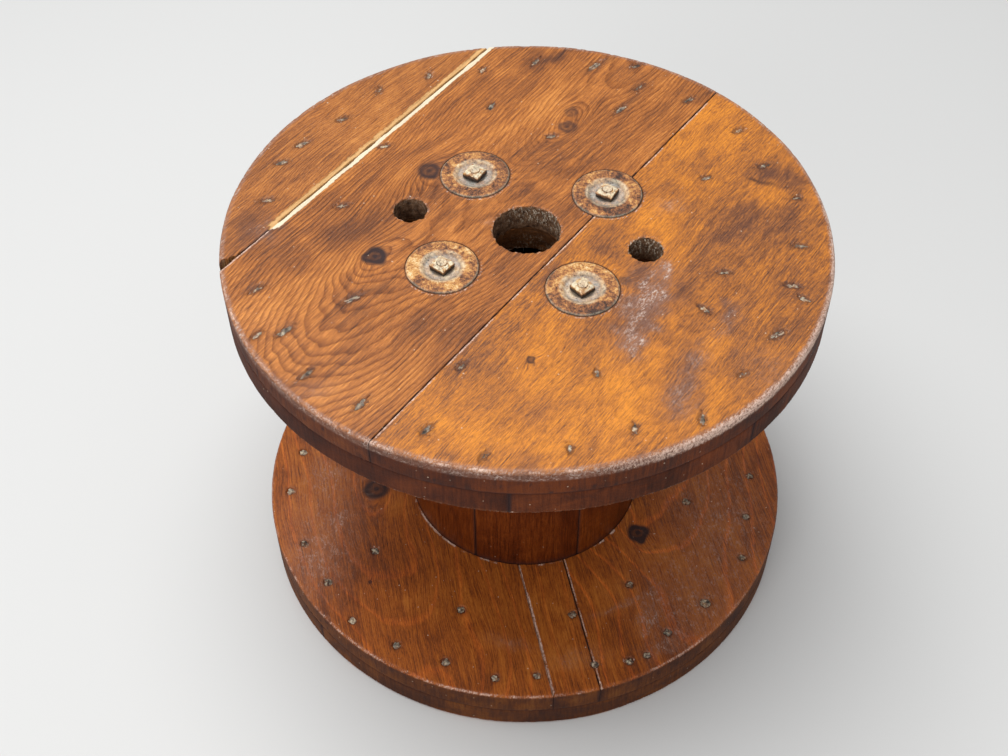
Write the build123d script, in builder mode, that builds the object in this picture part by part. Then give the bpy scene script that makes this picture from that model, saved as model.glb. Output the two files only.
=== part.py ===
import os
from math import asin, cos, degrees, radians, sin, sqrt

from build123d import *

# Driving dimensions, in millimetres and degrees.

# Flanges: two crossed plies of sawn boards, turned to a disc
flange_diameter = 457.2
board_thickness = 22.2
rim_rounding = 4.0
joint_arris = 0.8
seam_gap = 0.4
seam_groove = 0.9

# Directions of the boards, and how far each seam lies to the left or right of the axis
top_outer_grain = 68.2
top_outer_left = 157.0
top_outer_right = 32.5
top_inner_grain = 158.2
top_inner_left = 47.2
top_inner_right = 110.0
top_inner_strip = 35.6
bottom_inner_grain = 116.2
bottom_inner_left = 27.0
bottom_inner_right = 11.5
bottom_outer_grain = 26.2
bottom_outer_left = 82.5
bottom_outer_right = 108.0

# The left seam of the top face has sprung open, but for a stretch at one end
split_closed_length = 54.0
split_strip_side = 4.0
split_board_side = 3.0
split_depth = 5.0

# The corner that has broken away where the closed stretch reaches the rim
notch_length = 23.0
notch_width = 8.0
notch_depth = 13.0

# Barrel: bevelled staves with their ends let into a groove in each flange
traverse = 254.0
barrel_diameter = 203.2
stave_count = 7
stave_thickness = 22.2
stave_gap = 0.3
stave_arris = 1.0
first_stave_seam = -49.6
groove_depth = 6.0
groove_clearance = 0.2

# Holes for the spindle and for the two pins that drive the drum
arbor_hole_diameter = 50.8
drive_hole_diameter = 25.4

# Tie bolts with square heads and nuts, close inside the staves
bolt_count = 4
first_bolt_angle = 46.5
bolt_diameter = 7.9
bolt_to_stave = 1.8
bolt_hole_clearance = 0.25
bolt_end = 0.8
head_width = 12.7
head_height = 5.2
head_recess = 0.8
nut_width = 13.6
nut_height = 5.4
nut_chamfer = 0.9
nut_turns = (74.0, 72.0, 66.0, 54.0)
thread_clearance = 0.1

# Cup washers, let into the wood
washer_diameter = 54.0
washer_thickness = 2.4
washer_edge = 1.0
washer_stand = 1.2
cup_diameter = 30.0
cup_drop = 2.2
cup_slope = 1.0
pocket_clearance = 0.4

# Sizes and levels that follow from these
flange_radius = flange_diameter / 2
flange_thickness = 2 * board_thickness
top_outer_seams = (-top_outer_left, top_outer_right)
top_inner_seams = (top_inner_strip - flange_radius, -top_inner_left, top_inner_right)
bottom_inner_seams = (-bottom_inner_left, bottom_inner_right)
bottom_outer_seams = (-bottom_outer_left, bottom_outer_right)
split_seam_end = sqrt(flange_radius**2 - top_outer_left**2)
barrel_radius = barrel_diameter / 2
stave_flat = barrel_radius - stave_thickness
bolt_radius = bolt_diameter / 2
bolt_circle = stave_flat - bolt_to_stave - bolt_radius
bolt_hole_radius = bolt_radius + bolt_hole_clearance
drive_circle = barrel_radius - stave_thickness / 2
washer_radius = washer_diameter / 2
cup_radius = cup_diameter / 2
top_flange_base = flange_thickness + traverse
overall_height = top_flange_base + flange_thickness
bottom_washer_face = head_recess + head_height - cup_drop
top_washer_face = overall_height + washer_stand
nut_seat = top_washer_face - cup_drop
bolt_top = nut_seat + nut_height + bolt_end
os.makedirs("parts", exist_ok=True)


def finish_piece(builder, name):
    """Name a finished piece and write it to its own file."""
    builder.part.label = name
    export_step(builder.part, f"parts/{name}.step")


def seam_plane(grain, offset, level):
    """The plane across a seam: X points across the boards, Z along them."""
    across = Vector(sin(radians(grain)), -cos(radians(grain)), 0)
    along = Vector(cos(radians(grain)), sin(radians(grain)), 0)
    return Plane(origin=across * offset + Vector(0, 0, level), x_dir=across, z_dir=along)


def turned_slice(base, rounded_level, grain, low, high):
    """Cut one board from the turned ply: a disc with a rounded rim, split at its seams."""
    joint_level = 2 * base + board_thickness - rounded_level
    with BuildSketch(Plane.XZ) as section:
        with Locations((0, base)):
            Rectangle(flange_radius, board_thickness, align=(Align.MIN, Align.MIN))
        chamfer(section.vertices().sort_by_distance((flange_radius, joint_level))[0], joint_arris)
        fillet(section.vertices().sort_by_distance((flange_radius, rounded_level))[0], rim_rounding)
    revolve(section.sketch, axis=Axis.Z)
    across = seam_plane(grain, 0, base).x_dir
    if low is not None:
        split(bisect_by=Plane(across * (low + seam_gap / 2), z_dir=across), keep=Keep.TOP)
    if high is not None:
        split(bisect_by=Plane(across * (high - seam_gap / 2), z_dir=across), keep=Keep.BOTTOM)


def ease_seams(level, outward, grain, seams):
    """Ease both edges of each seam on the face that shows, as one shallow groove."""
    for seam in seams:
        with BuildSketch(seam_plane(grain, seam, level)) as groove:
            Polygon((-seam_groove, 0), (seam_groove, 0), (0, outward * seam_groove), align=None)
        extrude(groove.sketch, amount=flange_radius, both=True, mode=Mode.SUBTRACT)


def cut_round(level, depth, radius, spread=0.0, count=1, start=0.0):
    """Sink round holes from a level, on a circle about the axis."""
    with BuildSketch(Plane.XY.offset(level)) as holes:
        with PolarLocations(spread, count, start_angle=start):
            Circle(radius)
    extrude(holes.sketch, amount=depth, mode=Mode.SUBTRACT)


def cut_bolt_holes(level, depth):
    cut_round(level, depth, bolt_hole_radius, bolt_circle, bolt_count, first_bolt_angle)


def cut_washer_pockets(level, direction, sink):
    """Sink a stepped pocket for each cup washer, its rim and then its cup."""
    rim_depth = sink + washer_thickness
    cup_depth = rim_depth + cup_drop
    rim_radius = washer_radius + pocket_clearance
    cup_pocket_radius = cup_radius + washer_thickness + pocket_clearance
    for radius, depth in ((rim_radius, rim_depth), (cup_pocket_radius, cup_depth)):
        cut_round(level, direction * depth, radius, bolt_circle, bolt_count, first_bolt_angle)


def cut_stave_groove(face, direction):
    """Cut the ring groove that takes the ends of the staves."""
    with BuildSketch(Plane.XY.offset(face)) as ring:
        Circle(barrel_radius + groove_clearance)
        Circle(stave_flat - groove_clearance, mode=Mode.SUBTRACT)
    extrude(ring.sketch, amount=direction * groove_depth, mode=Mode.SUBTRACT)


def cut_through_holes(base, drive_base, drive_depth):
    """Bore the spindle hole through a board, and the drive holes to their depth."""
    cut_round(base, board_thickness, arbor_hole_diameter / 2)
    cut_round(drive_base, drive_depth, drive_hole_diameter / 2, drive_circle, 2)
    cut_bolt_holes(base, board_thickness)


def cut_split(level):
    """Open the left seam as a trench, from a blunt end to the rim."""
    blunt_end = split_closed_length - split_seam_end
    start = seam_plane(top_outer_grain, -top_outer_left, level).offset(blunt_end)
    with BuildSketch(start) as trench:
        Polygon((-split_strip_side, 0), (split_board_side, 0), (0, split_depth), align=None)
    extrude(trench.sketch, amount=flange_diameter, mode=Mode.SUBTRACT)


def cut_notch(level):
    """Break the strip's corner away where the closed stretch leaves the disc."""
    seam = seam_plane(top_outer_grain, -top_outer_left, level)
    start = notch_length - split_seam_end
    with BuildSketch(Plane(origin=seam.origin, x_dir=seam.z_dir, z_dir=(0, 0, 1))) as corner:
        Polygon((start, 0), (-flange_radius, 0), (-flange_radius, notch_width), align=None)
    extrude(corner.sketch, amount=-notch_depth, mode=Mode.SUBTRACT)


def board_edges(seams):
    """Pair up the seams that bound each board, with none at the rim."""
    bounds = (None, *seams, None)
    return list(zip(bounds, bounds[1:]))


# Top flange, outer ply: the face with the washers, the sprung seam and the notch
for number, (low, high) in enumerate(board_edges(top_outer_seams), start=1):
    base = overall_height - board_thickness
    with BuildPart() as top_outer_board:
        turned_slice(base, overall_height, top_outer_grain, low, high)
        ease_seams(overall_height, 1, top_outer_grain, top_outer_seams)
        cut_split(overall_height)
        cut_notch(overall_height)
        cut_through_holes(base, base, board_thickness)
        cut_washer_pockets(overall_height, -1, -washer_stand)
    finish_piece(top_outer_board, f"top_flange_outer_board_{number}")

# Top flange, inner ply: crosswise boards with the groove for the staves
for number, (low, high) in enumerate(board_edges(top_inner_seams), start=1):
    base = top_flange_base
    with BuildPart() as top_inner_board:
        turned_slice(base, base, top_inner_grain, low, high)
        ease_seams(base, -1, top_inner_grain, top_inner_seams)
        cut_stave_groove(base, 1)
        cut_through_holes(base, base + groove_depth, board_thickness - groove_depth)
    finish_piece(top_inner_board, f"top_flange_inner_board_{number}")

# Bottom flange, inner ply: the face that shows in front of the barrel
for number, (low, high) in enumerate(board_edges(bottom_inner_seams), start=1):
    base = board_thickness
    with BuildPart() as bottom_inner_board:
        turned_slice(base, flange_thickness, bottom_inner_grain, low, high)
        ease_seams(flange_thickness, 1, bottom_inner_grain, bottom_inner_seams)
        cut_stave_groove(flange_thickness, -1)
        cut_through_holes(base, base, board_thickness - groove_depth)
    finish_piece(bottom_inner_board, f"bottom_flange_inner_board_{number}")

# Bottom flange, outer ply: the face that the drum stands on
for number, (low, high) in enumerate(board_edges(bottom_outer_seams), start=1):
    with BuildPart() as bottom_outer_board:
        turned_slice(0, 0, bottom_outer_grain, low, high)
        ease_seams(0, -1, bottom_outer_grain, bottom_outer_seams)
        cut_through_holes(0, 0, board_thickness)
        cut_washer_pockets(0, 1, bottom_washer_face)
    finish_piece(bottom_outer_board, f"bottom_flange_outer_board_{number}")

# Barrel staves: flat inside, bevelled to meet, and turned round outside
stave_angle = 360 / stave_count
bevel = stave_angle / 2
outer_angle = bevel - degrees(asin(stave_gap / 2 / barrel_radius))
outer_x = barrel_radius * cos(radians(outer_angle))
outer_y = barrel_radius * sin(radians(outer_angle))
inner_y = (stave_flat * sin(radians(bevel)) - stave_gap / 2) / cos(radians(bevel))
stave_base = flange_thickness - groove_depth
stave_length = traverse + 2 * groove_depth
for number in range(stave_count):
    middle = first_stave_seam + stave_angle * (number + 1 / 2)
    with BuildPart() as stave:
        with BuildSketch(Plane.XY.offset(stave_base).rotated((0, 0, middle))) as stave_section:
            with BuildLine():
                ThreePointArc((outer_x, -outer_y), (barrel_radius, 0), (outer_x, outer_y))
                Polyline(
                    (outer_x, outer_y),
                    (stave_flat, inner_y),
                    (stave_flat, -inner_y),
                    (outer_x, -outer_y),
                )
            make_face()
            fillet(stave_section.vertices().group_by(Axis.X)[-1], stave_arris)
        extrude(amount=stave_length)
    finish_piece(stave, f"barrel_stave_{number + 1}")


def washer_at(angle, face, direction):
    """Turn a cup washer: a flat rim with a rounded edge, and a sunk seat for the nut."""
    hole_radius = bolt_hole_radius
    seat_radius = cup_radius - cup_slope
    spot = Vector(bolt_circle * cos(radians(angle)), bolt_circle * sin(radians(angle)), face)
    across = Vector(cos(radians(angle)), sin(radians(angle)), 0)
    up = Vector(0, 0, direction)
    with BuildSketch(Plane(origin=spot, x_dir=across, z_dir=across.cross(up))) as section:
        Polygon(
            (hole_radius, -cup_drop),
            (seat_radius, -cup_drop),
            (cup_radius, 0),
            (washer_radius, 0),
            (washer_radius, -washer_thickness),
            (cup_radius + washer_thickness, -washer_thickness),
            (seat_radius + washer_thickness, -cup_drop - washer_thickness),
            (hole_radius, -cup_drop - washer_thickness),
            align=None,
        )
    revolve(section.sketch, axis=Axis(spot, up))


# Hardware: for each tie bolt its two washers, the bolt with its head, and the nut
for number in range(bolt_count):
    angle = first_bolt_angle + number * 360 / bolt_count
    with BuildPart() as top_washer:
        washer_at(angle, top_washer_face, 1)
        rim = top_washer.edges().group_by(Axis.Z)[-1].sort_by(SortBy.LENGTH)[-1]
        fillet(rim, washer_edge)
    finish_piece(top_washer, f"top_washer_{number + 1}")
    with BuildPart() as bottom_washer:
        washer_at(angle, bottom_washer_face, -1)
        rim = bottom_washer.edges().group_by(Axis.Z)[0].sort_by(SortBy.LENGTH)[-1]
        fillet(rim, washer_edge)
    finish_piece(bottom_washer, f"bottom_washer_{number + 1}")

    with BuildPart() as tie_bolt:
        with BuildSketch(Plane.XY.offset(head_recess)):
            with PolarLocations(bolt_circle, 1, start_angle=angle):
                Rectangle(head_width, head_width)
        extrude(amount=head_height)
        with BuildSketch(Plane.XY.offset(head_recess + head_height)):
            with PolarLocations(bolt_circle, 1, start_angle=angle):
                Circle(bolt_radius)
        extrude(amount=bolt_top - head_recess - head_height)
        chamfer(tie_bolt.edges().group_by(Axis.Z)[-1], bolt_end / 2)
    finish_piece(tie_bolt, f"tie_bolt_{number + 1}")

    with BuildPart() as nut:
        with BuildSketch(Plane.XY.offset(nut_seat)):
            with PolarLocations(bolt_circle, 1, start_angle=angle, rotate=False):
                Rectangle(nut_width, nut_width, rotation=nut_turns[number])
                Circle(bolt_radius + thread_clearance, mode=Mode.SUBTRACT)
        extrude(amount=nut_height)
        top_edges = nut.faces().sort_by(Axis.Z)[-1].outer_wire().edges()
        chamfer(top_edges, nut_chamfer)
    finish_piece(nut, f"tie_bolt_nut_{number + 1}")
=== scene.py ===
import math

import bmesh
import bpy
import numpy as np
from mathutils import Matrix, Vector, kdtree
from mathutils.geometry import delaunay_2d_cdt


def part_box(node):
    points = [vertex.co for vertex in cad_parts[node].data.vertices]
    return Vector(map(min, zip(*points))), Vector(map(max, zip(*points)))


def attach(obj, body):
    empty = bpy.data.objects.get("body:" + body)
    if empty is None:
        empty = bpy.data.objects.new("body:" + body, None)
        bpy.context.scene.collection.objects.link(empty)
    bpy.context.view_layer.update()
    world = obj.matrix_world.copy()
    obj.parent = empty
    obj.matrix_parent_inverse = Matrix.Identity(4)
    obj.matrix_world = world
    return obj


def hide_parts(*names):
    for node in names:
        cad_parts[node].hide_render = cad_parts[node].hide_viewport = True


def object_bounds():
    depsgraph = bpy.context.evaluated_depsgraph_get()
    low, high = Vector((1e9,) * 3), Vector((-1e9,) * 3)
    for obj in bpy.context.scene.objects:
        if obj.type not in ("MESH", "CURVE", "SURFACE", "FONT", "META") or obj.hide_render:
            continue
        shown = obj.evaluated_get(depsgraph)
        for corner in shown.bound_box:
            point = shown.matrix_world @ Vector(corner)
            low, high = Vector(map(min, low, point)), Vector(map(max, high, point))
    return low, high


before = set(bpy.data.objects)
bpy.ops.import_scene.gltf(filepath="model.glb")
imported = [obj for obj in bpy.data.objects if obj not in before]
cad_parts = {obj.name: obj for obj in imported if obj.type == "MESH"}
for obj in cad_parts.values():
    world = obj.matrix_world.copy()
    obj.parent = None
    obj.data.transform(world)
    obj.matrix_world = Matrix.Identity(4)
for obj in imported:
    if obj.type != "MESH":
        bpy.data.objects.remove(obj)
cad_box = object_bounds()

# Sizes in millimetres. Levels and the flange's radius come from the frame.
MM = 0.001
FLANGE_RADIUS = cad_box[1].x / MM
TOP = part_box("top_flange_outer_board_2")[1].z / MM
BARREL_RADIUS = 101.6
STAVE_FLAT = 79.4
STAVE_COUNT = 7
FIRST_STAVE_SEAM = -49.6
GROOVE_CLEARANCE = 0.2
GROOVE_DEPTH = 6.0
ARBOR_RADIUS = 25.4
DRIVE_RADIUS = 12.7
DRIVE_CIRCLE = 90.5
DRIVE_DEPTH = 16.2
BOLT_CIRCLE = 73.65
BOLT_ANGLES = [46.5 + 90 * i for i in range(4)]
BOLT_RADIUS = 3.95
WASHER_RADIUS = 27.0
WASHER_THICKNESS = 2.4
WASHER_STAND = 1.2
CUP_RADIUS = 15.0
CUP_DROP = 2.2
CUP_SLOPE = 1.0
BOTTOM_SINK = 3.8
POCKET_CLEARANCE = 0.4
SEAM_GROOVE = 0.9
SHOWN_DEPTH = 2.5
NUT_HEIGHT = 5.4
NUT_CHAMFER = 0.9
HEAD_WIDTH = 12.7
THREAD_LENGTH = 26.0
THREAD_PITCH = 1.4

# The sprung seam of the top face and the broken corner at its other end
SPLIT_SEAM = -157.0
SPLIT_END = -112.0
SPLIT_DEPTH = 5.0
NOTCH_START = -143.0
NOTCH_WIDTH = 8.0
NOTCH_DEPTH = 13.0

# How finely the shown pieces are made: levels down a side, spacings and counts
BOARD_ROWS = (0.07, 0.16, 0.27, 0.42, 0.6, 0.78, 0.93)
NUT_ROWS = (0.12, 0.25, 0.38, 0.5, 0.62, 0.75, 0.88)
STAVE_ROWS = np.linspace(0, 1, 46)[1:-1]
JOINT_SPACING = 40.0
STAVE_END_SPACING = 8.0
WALL_SPREAD = 0.07
WASHER_DETAIL = {1: (0.65, 160), -1: (1.0, 90)}  # profile step and sides, above and below
BOLT_SIDES = 60
THREAD_STEP = 0.35
NAIL_SIDES = 22
NAIL_RINGS = 6

# Camera, solved from the photograph, whose own directions are turned from the frame's.
# Distances in millimetres, turns in radians, PHOTO_TURN in degrees
PHOTO_TURN = 13.05
LENS = 50.4
SENSOR = 36.0
CAMERA_BACK = 773.6
CAMERA_HEIGHT = 1069.7
CAMERA_PITCH = 0.8594
CAMERA_YAW = -0.023
CAMERA_ROLL = -0.0076

# Surroundings in metres and watts
FLOOR_HALF = 14.0
FLOOR_COLOUR = (0.66, 0.66, 0.65, 1)
WORLD_COLOUR = (0.97, 0.98, 1.0, 1)
WORLD_STRENGTH = 0.45
LAMPS = [("ceiling_light", (-0.5, 0.2, 2.4), 1.8, 52), ("front_light", (-0.3, -2.3, 1.2), 1.6, 22)]
LAMP_TARGET = (0, 0, 0.25)

# Places in flange radii along the photograph's directions.
# Bent nail ends on the top face: x, y, turn in degrees, length in millimetres
TOP_NAILS = [
    (-0.363, 0.813, 84, 9), (-0.537, 0.724, 78, 9), (-0.656, 0.559, 30, 11),
    (-0.784, 0.422, 40, 12), (-0.843, 0.324, 25, 11), (-0.868, 0.132, 10, 11),
    (-0.166, 0.847, 60, 9), (-0.131, 0.637, 68, 9), (-0.498, 0.414, 15, 10),
    (-0.615, 0.107, 15, 10), (0.027, 0.898, 60, 12), (0.244, 0.877, 48, 17), (0.396, 0.879, 30, 9),
    (0.402, 0.751, 48, 12), (0.576, 0.681, 42, 12), (0.331, 0.626, 48, 14), (0.739, 0.512, 38, 9),
    (0.807, 0.324, 28, 12), (0.606, 0.262, 25, 9), (0.902, 0.164, 5, 7), (0.884, -0.067, -8, 12),
    (0.839, -0.247, 170, 11), (0.869, -0.303, 150, 9), (0.633, -0.189, 10, 9),
    (0.554, -0.352, -45, 10), (0.768, -0.456, 38, 15), (0.649, -0.619, 30, 8),
    (0.215, -0.619, 95, 7), (0.516, -0.791, 88, 10), (0.318, -0.831, 80, 8), (0.13, -0.907, 100, 7),
    (-0.113, -0.934, 60, 9), (-0.283, -0.842, 50, 10), (-0.482, -0.749, 55, 12),
    (-0.653, -0.635, 50, 12), (-0.191, -0.597, 50, 9), (-0.74, -0.461, 45, 14),
    (-0.822, -0.477, 50, 8), (-0.544, -0.322, 38, 16), (-0.847, -0.282, 42, 12),
    (0.081, 0.474, 20, 8),
]
# Round nail heads on the bottom flange's face: x, y, radius in millimetres
BOTTOM_NAILS = [
    (-0.889, 0.079, 3.0), (-0.917, -0.116, 3.0), (-0.835, -0.36, 3.0), (-0.729, -0.532, 3.2),
    (-0.624, -0.695, 3.0), (-0.563, -0.39, 3.0), (-0.454, -0.796, 3.0), (-0.276, -0.86, 3.0),
    (-0.227, -0.644, 3.0), (-0.095, -0.923, 2.8), (0.052, -0.91, 2.8), (0.182, -0.657, 3.0),
    (0.258, -0.863, 2.8), (0.382, -0.847, 3.0), (0.448, -0.822, 2.6), (0.527, -0.728, 3.0),
    (0.396, -0.526, 3.0), (0.672, -0.602, 4.0), (0.826, -0.401, 3.0), (0.859, -0.211, 3.0),
    (0.633, -0.143, 3.0), (0.891, -0.015, 3.0),
]
# Knots: x, y, radius in millimetres, how dark
TOP_KNOTS = [
    (-0.487, -0.133, 9.5, 1.15), (0.141, 0.523, 8.0, 0.75), (0.155, 0.605, 6.0, 0.6),
    (0.016, -0.57, 3.6, 0.9), (-0.335, 0.284, 10.0, 1.0), (0.312, -0.233, 5.0, 0.6),
]
BOTTOM_KNOTS = [(-0.58, -0.1, 12.0, 1.1), (0.438, -0.295, 10.0, 1.15), (-0.571, -0.53, 1.8, 1.0)]


def smooth(x, low, high):
    """A soft step from 0 at low to 1 at high."""
    t = np.clip((x - low) / (high - low), 0, 1)
    return t * t * (3 - 2 * t)


def waves(p, size, seed, count=28):
    """Smooth noise between about -1 and 1, from random plane waves of about one size."""
    rng = np.random.default_rng(seed)
    total = np.zeros(len(p))
    for _ in range(count):
        direction = rng.normal(size=p.shape[1])
        direction *= 2 * math.pi / size * rng.uniform(0.5, 1.4) / np.linalg.norm(direction)
        total += np.sin(p @ direction + rng.uniform(0, 2 * math.pi))
    return total / math.sqrt(count) * 1.2


def turn(angle):
    """The 2-D turn by an angle in degrees, for points on its left."""
    c, s = math.cos(math.radians(angle)), math.sin(math.radians(angle))
    return np.array([[c, s], [-s, c]])


def photo_spot(x, y):
    """A place on the drum given in flange radii along the photograph's directions."""
    return np.array([x, y]) * FLANGE_RADIUS @ turn(PHOTO_TURN)


def polar(radius, angle):
    """A point at a distance and an angle in degrees from the middle."""
    return np.array([math.cos(math.radians(angle)), math.sin(math.radians(angle))]) * radius


def norm(vectors):
    return np.linalg.norm(vectors, axis=1)


def unit_circle(count):
    angles = np.arange(count) * 2 * math.pi / count
    return np.stack([np.cos(angles), np.sin(angles)], axis=1)


def ring_points(centre, radius, spacing):
    """Points on a circle."""
    count = max(int(2 * math.pi * radius / spacing), 12)
    return np.asarray(centre) + radius * unit_circle(count)


# Outlines and meshes


def section_loops(node, level):
    """The closed outlines of a CAD node where a level plane cuts it, in millimetres."""
    mesh = bmesh.new()
    mesh.from_mesh(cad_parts[node].data)
    bmesh.ops.remove_doubles(mesh, verts=mesh.verts, dist=1e-6)
    every = mesh.verts[:] + mesh.edges[:] + mesh.faces[:]
    plane = dict(plane_co=(0, 0, level * MM), plane_no=(0, 0, 1))
    cut = bmesh.ops.bisect_plane(mesh, geom=every, **plane)
    edges = {e for e in cut["geom_cut"] if isinstance(e, bmesh.types.BMEdge)}
    loops = []
    while edges:
        edge = edges.pop()
        chain = [edge.verts[0], edge.verts[1]]
        while chain[-1] is not chain[0]:
            following = next((e for e in chain[-1].link_edges if e in edges), None)
            if following is None:
                break
            edges.remove(following)
            chain.append(following.other_vert(chain[-1]))
        loops.append(np.array([(v.co.x, v.co.y) for v in chain[:-1]]) / MM)
    mesh.free()
    # The edges come in no fixed order, so each loop gets one way round and one first point
    loops = [loop if area(loop) > 0 else loop[::-1] for loop in loops if len(loop) > 2]
    loops = [np.roll(loop, -np.lexsort(loop.T)[0], axis=0) for loop in loops]
    return sorted(loops, key=lambda loop: tuple(loop[0]))


def resample(loop, spacing):
    """Points at an even spacing round a loop, with its corners kept."""
    before = loop - np.roll(loop, 1, axis=0)
    after = np.roll(loop, -1, axis=0) - loop
    cross = before[:, 0] * after[:, 1] - before[:, 1] * after[:, 0]
    turns = np.abs(np.arctan2(cross, (before * after).sum(1)))
    marks = np.flatnonzero(turns > math.radians(25))
    if len(marks) == 0:
        marks = np.array([0])
    loop = np.roll(loop, -marks[0], axis=0)
    marks = marks - marks[0]
    closed = np.vstack([loop, loop[:1]])
    points = []
    for first, last in zip(marks, list(marks[1:]) + [len(loop)]):
        run = closed[first : last + 1]
        lengths = np.concatenate([[0], np.cumsum(norm(np.diff(run, axis=0)))])
        count = max(int(round(lengths[-1] / spacing)), 1)
        at = np.linspace(0, lengths[-1], count + 1)[:-1]
        points.append(np.stack([np.interp(at, lengths, run[:, k]) for k in (0, 1)], axis=1))
    return np.vstack(points)


def area(loop):
    following = np.roll(loop, -1, axis=0)
    return (loop[:, 0] * following[:, 1] - loop[:, 1] * following[:, 0]).sum() / 2


def oriented(loops):
    """The outer loop first and counter-clockwise, the holes clockwise."""
    loops = sorted(loops, key=lambda loop: -abs(area(loop)))
    signs = [1] + [-1] * (len(loops) - 1)
    return [loop if area(loop) * sign > 0 else loop[::-1] for loop, sign in zip(loops, signs)]


def inside(points, loops):
    """True for each point that lies within the outline and outside its holes."""
    odd = np.zeros(len(points), dtype=bool)
    for loop in loops:
        for a, b in zip(loop, np.roll(loop, -1, axis=0)):
            if a[1] == b[1]:
                continue
            crosses = (a[1] > points[:, 1]) != (b[1] > points[:, 1])
            at = a[0] + (points[:, 1] - a[1]) / (b[1] - a[1]) * (b[0] - a[0])
            odd ^= crosses & (points[:, 0] < at)
    return odd


def nearest(points, targets):
    """Distance from each point to the nearest target point."""
    tree = kdtree.KDTree(len(targets))
    for i, target in enumerate(targets):
        tree.insert((target[0], target[1], 0), i)
    tree.balance()
    return np.array([tree.find((p[0], p[1], 0))[2] for p in points])


def grid_points(loops, spacing, angle):
    """A staggered grid over the outline, along the grain."""
    outline = np.vstack(loops) @ turn(-angle)
    low, high = outline.min(0), outline.max(0)
    xs = np.arange(low[0], high[0], spacing)
    ys = np.arange(low[1], high[1], spacing * 0.87)
    grid = np.stack(np.meshgrid(xs, ys), axis=-1)
    grid[1::2, :, 0] += spacing / 2
    return grid.reshape(-1, 2) @ turn(angle)


NO_POINTS = np.zeros((0, 2))


def face_points(loops, spacing, angle, extra=NO_POINTS):
    """Points within an outline: a grid, and rows of extra points where the shape needs them."""
    outline = np.vstack(loops)
    chosen = grid_points(loops, spacing, angle)
    chosen = chosen[inside(chosen, loops)]
    chosen = chosen[nearest(chosen, outline) > spacing * 0.45]
    extra = extra[inside(extra, loops)]
    if len(extra) == 0:
        return chosen
    extra = extra[nearest(extra, outline) > 0.06]
    chosen = chosen[nearest(chosen, extra) > spacing * 0.4]
    return np.vstack([extra, chosen])


def triangles(points, loops):
    """Triangles over points whose first ones are the loops of the outline."""
    rings, start = [], 0
    for loop in loops:
        ring = list(range(start, start + len(loop)))
        rings.append(ring if area(loop) > 0 else ring[::-1])
        start += len(loop)
    places = [Vector(p) for p in points]
    _, _, found, origins, _, owners = delaunay_2d_cdt(places, [], rings, 0, 1e-5, True)
    # A triangle that only the outer ring holds is wood, and the others fill a hole or a dent
    solid = [face for face, holders in zip(found, owners) if list(holders) == [0]]
    faces = np.array([origin[0] for origin in origins])[np.array(solid)]
    corners = points[faces]
    ab, ac = corners[:, 1] - corners[:, 0], corners[:, 2] - corners[:, 0]
    flipped = ab[:, 0] * ac[:, 1] < ab[:, 1] * ac[:, 0]
    faces[flipped] = faces[flipped][:, ::-1]
    return faces


def flat(level):
    """The height function of a level end."""
    return lambda p: np.full(len(p), level)


def slab(loops, upper, lower, fractions):
    """A closed body over an outline, between two ends of a height function and its points."""
    outline = np.vstack(loops)
    count = len(outline)
    (top_level, top_points), (low_level, low_points) = upper, lower
    top_plan = np.vstack([outline, top_points])
    low_plan = np.vstack([outline, low_points])
    top = np.column_stack([top_plan, top_level(top_plan)])
    low = np.column_stack([low_plan, low_level(low_plan)])
    rows = [top[:count] + (low[:count] - top[:count]) * f for f in fractions]
    vertices = np.vstack([top, low] + rows)
    kinds = np.zeros(len(vertices))
    kinds[count : len(top)] = 1
    kinds[len(top) + count : len(top) + len(low)] = -1
    faces = triangles(top_plan, loops).tolist()
    faces += (triangles(low_plan, loops)[:, ::-1] + len(top)).tolist()
    starts = [len(top) + len(low) + count * k for k in range(len(fractions))]
    starts = [0] + starts + [len(top)]
    first = 0
    for loop in loops:
        size = len(loop)
        for high_row, low_row in zip(starts, starts[1:]):
            for i in range(size):
                a, b = first + i, first + (i + 1) % size
                faces.append((high_row + b, high_row + a, low_row + a, low_row + b))
        first += size
    return vertices, kinds, faces


def make_piece(name, vertices, faces, node, material, values, sharp=35):
    """A shown piece that stands for a CAD node, with values stored at its vertices."""
    mesh = bpy.data.meshes.new(name)
    mesh.from_pydata((np.asarray(vertices) * MM).tolist(), [], faces)
    for key, value in values.items():
        kind = "FLOAT_VECTOR" if value.ndim == 2 else "FLOAT"
        slot = "vector" if value.ndim == 2 else "value"
        attribute = mesh.attributes.new(key, kind, "POINT")
        attribute.data.foreach_set(slot, np.ascontiguousarray(value, dtype=np.float32).ravel())
    mesh.polygons.foreach_set("use_smooth", np.ones(len(mesh.polygons), dtype=bool))
    mesh.set_sharp_from_angle(angle=math.radians(sharp))
    mesh.materials.append(material)
    piece = bpy.data.objects.new(name, mesh)
    bpy.context.collection.objects.link(piece)
    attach(piece, "root")
    if node is not None:
        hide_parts(node)
    return piece


# Materials


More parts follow.
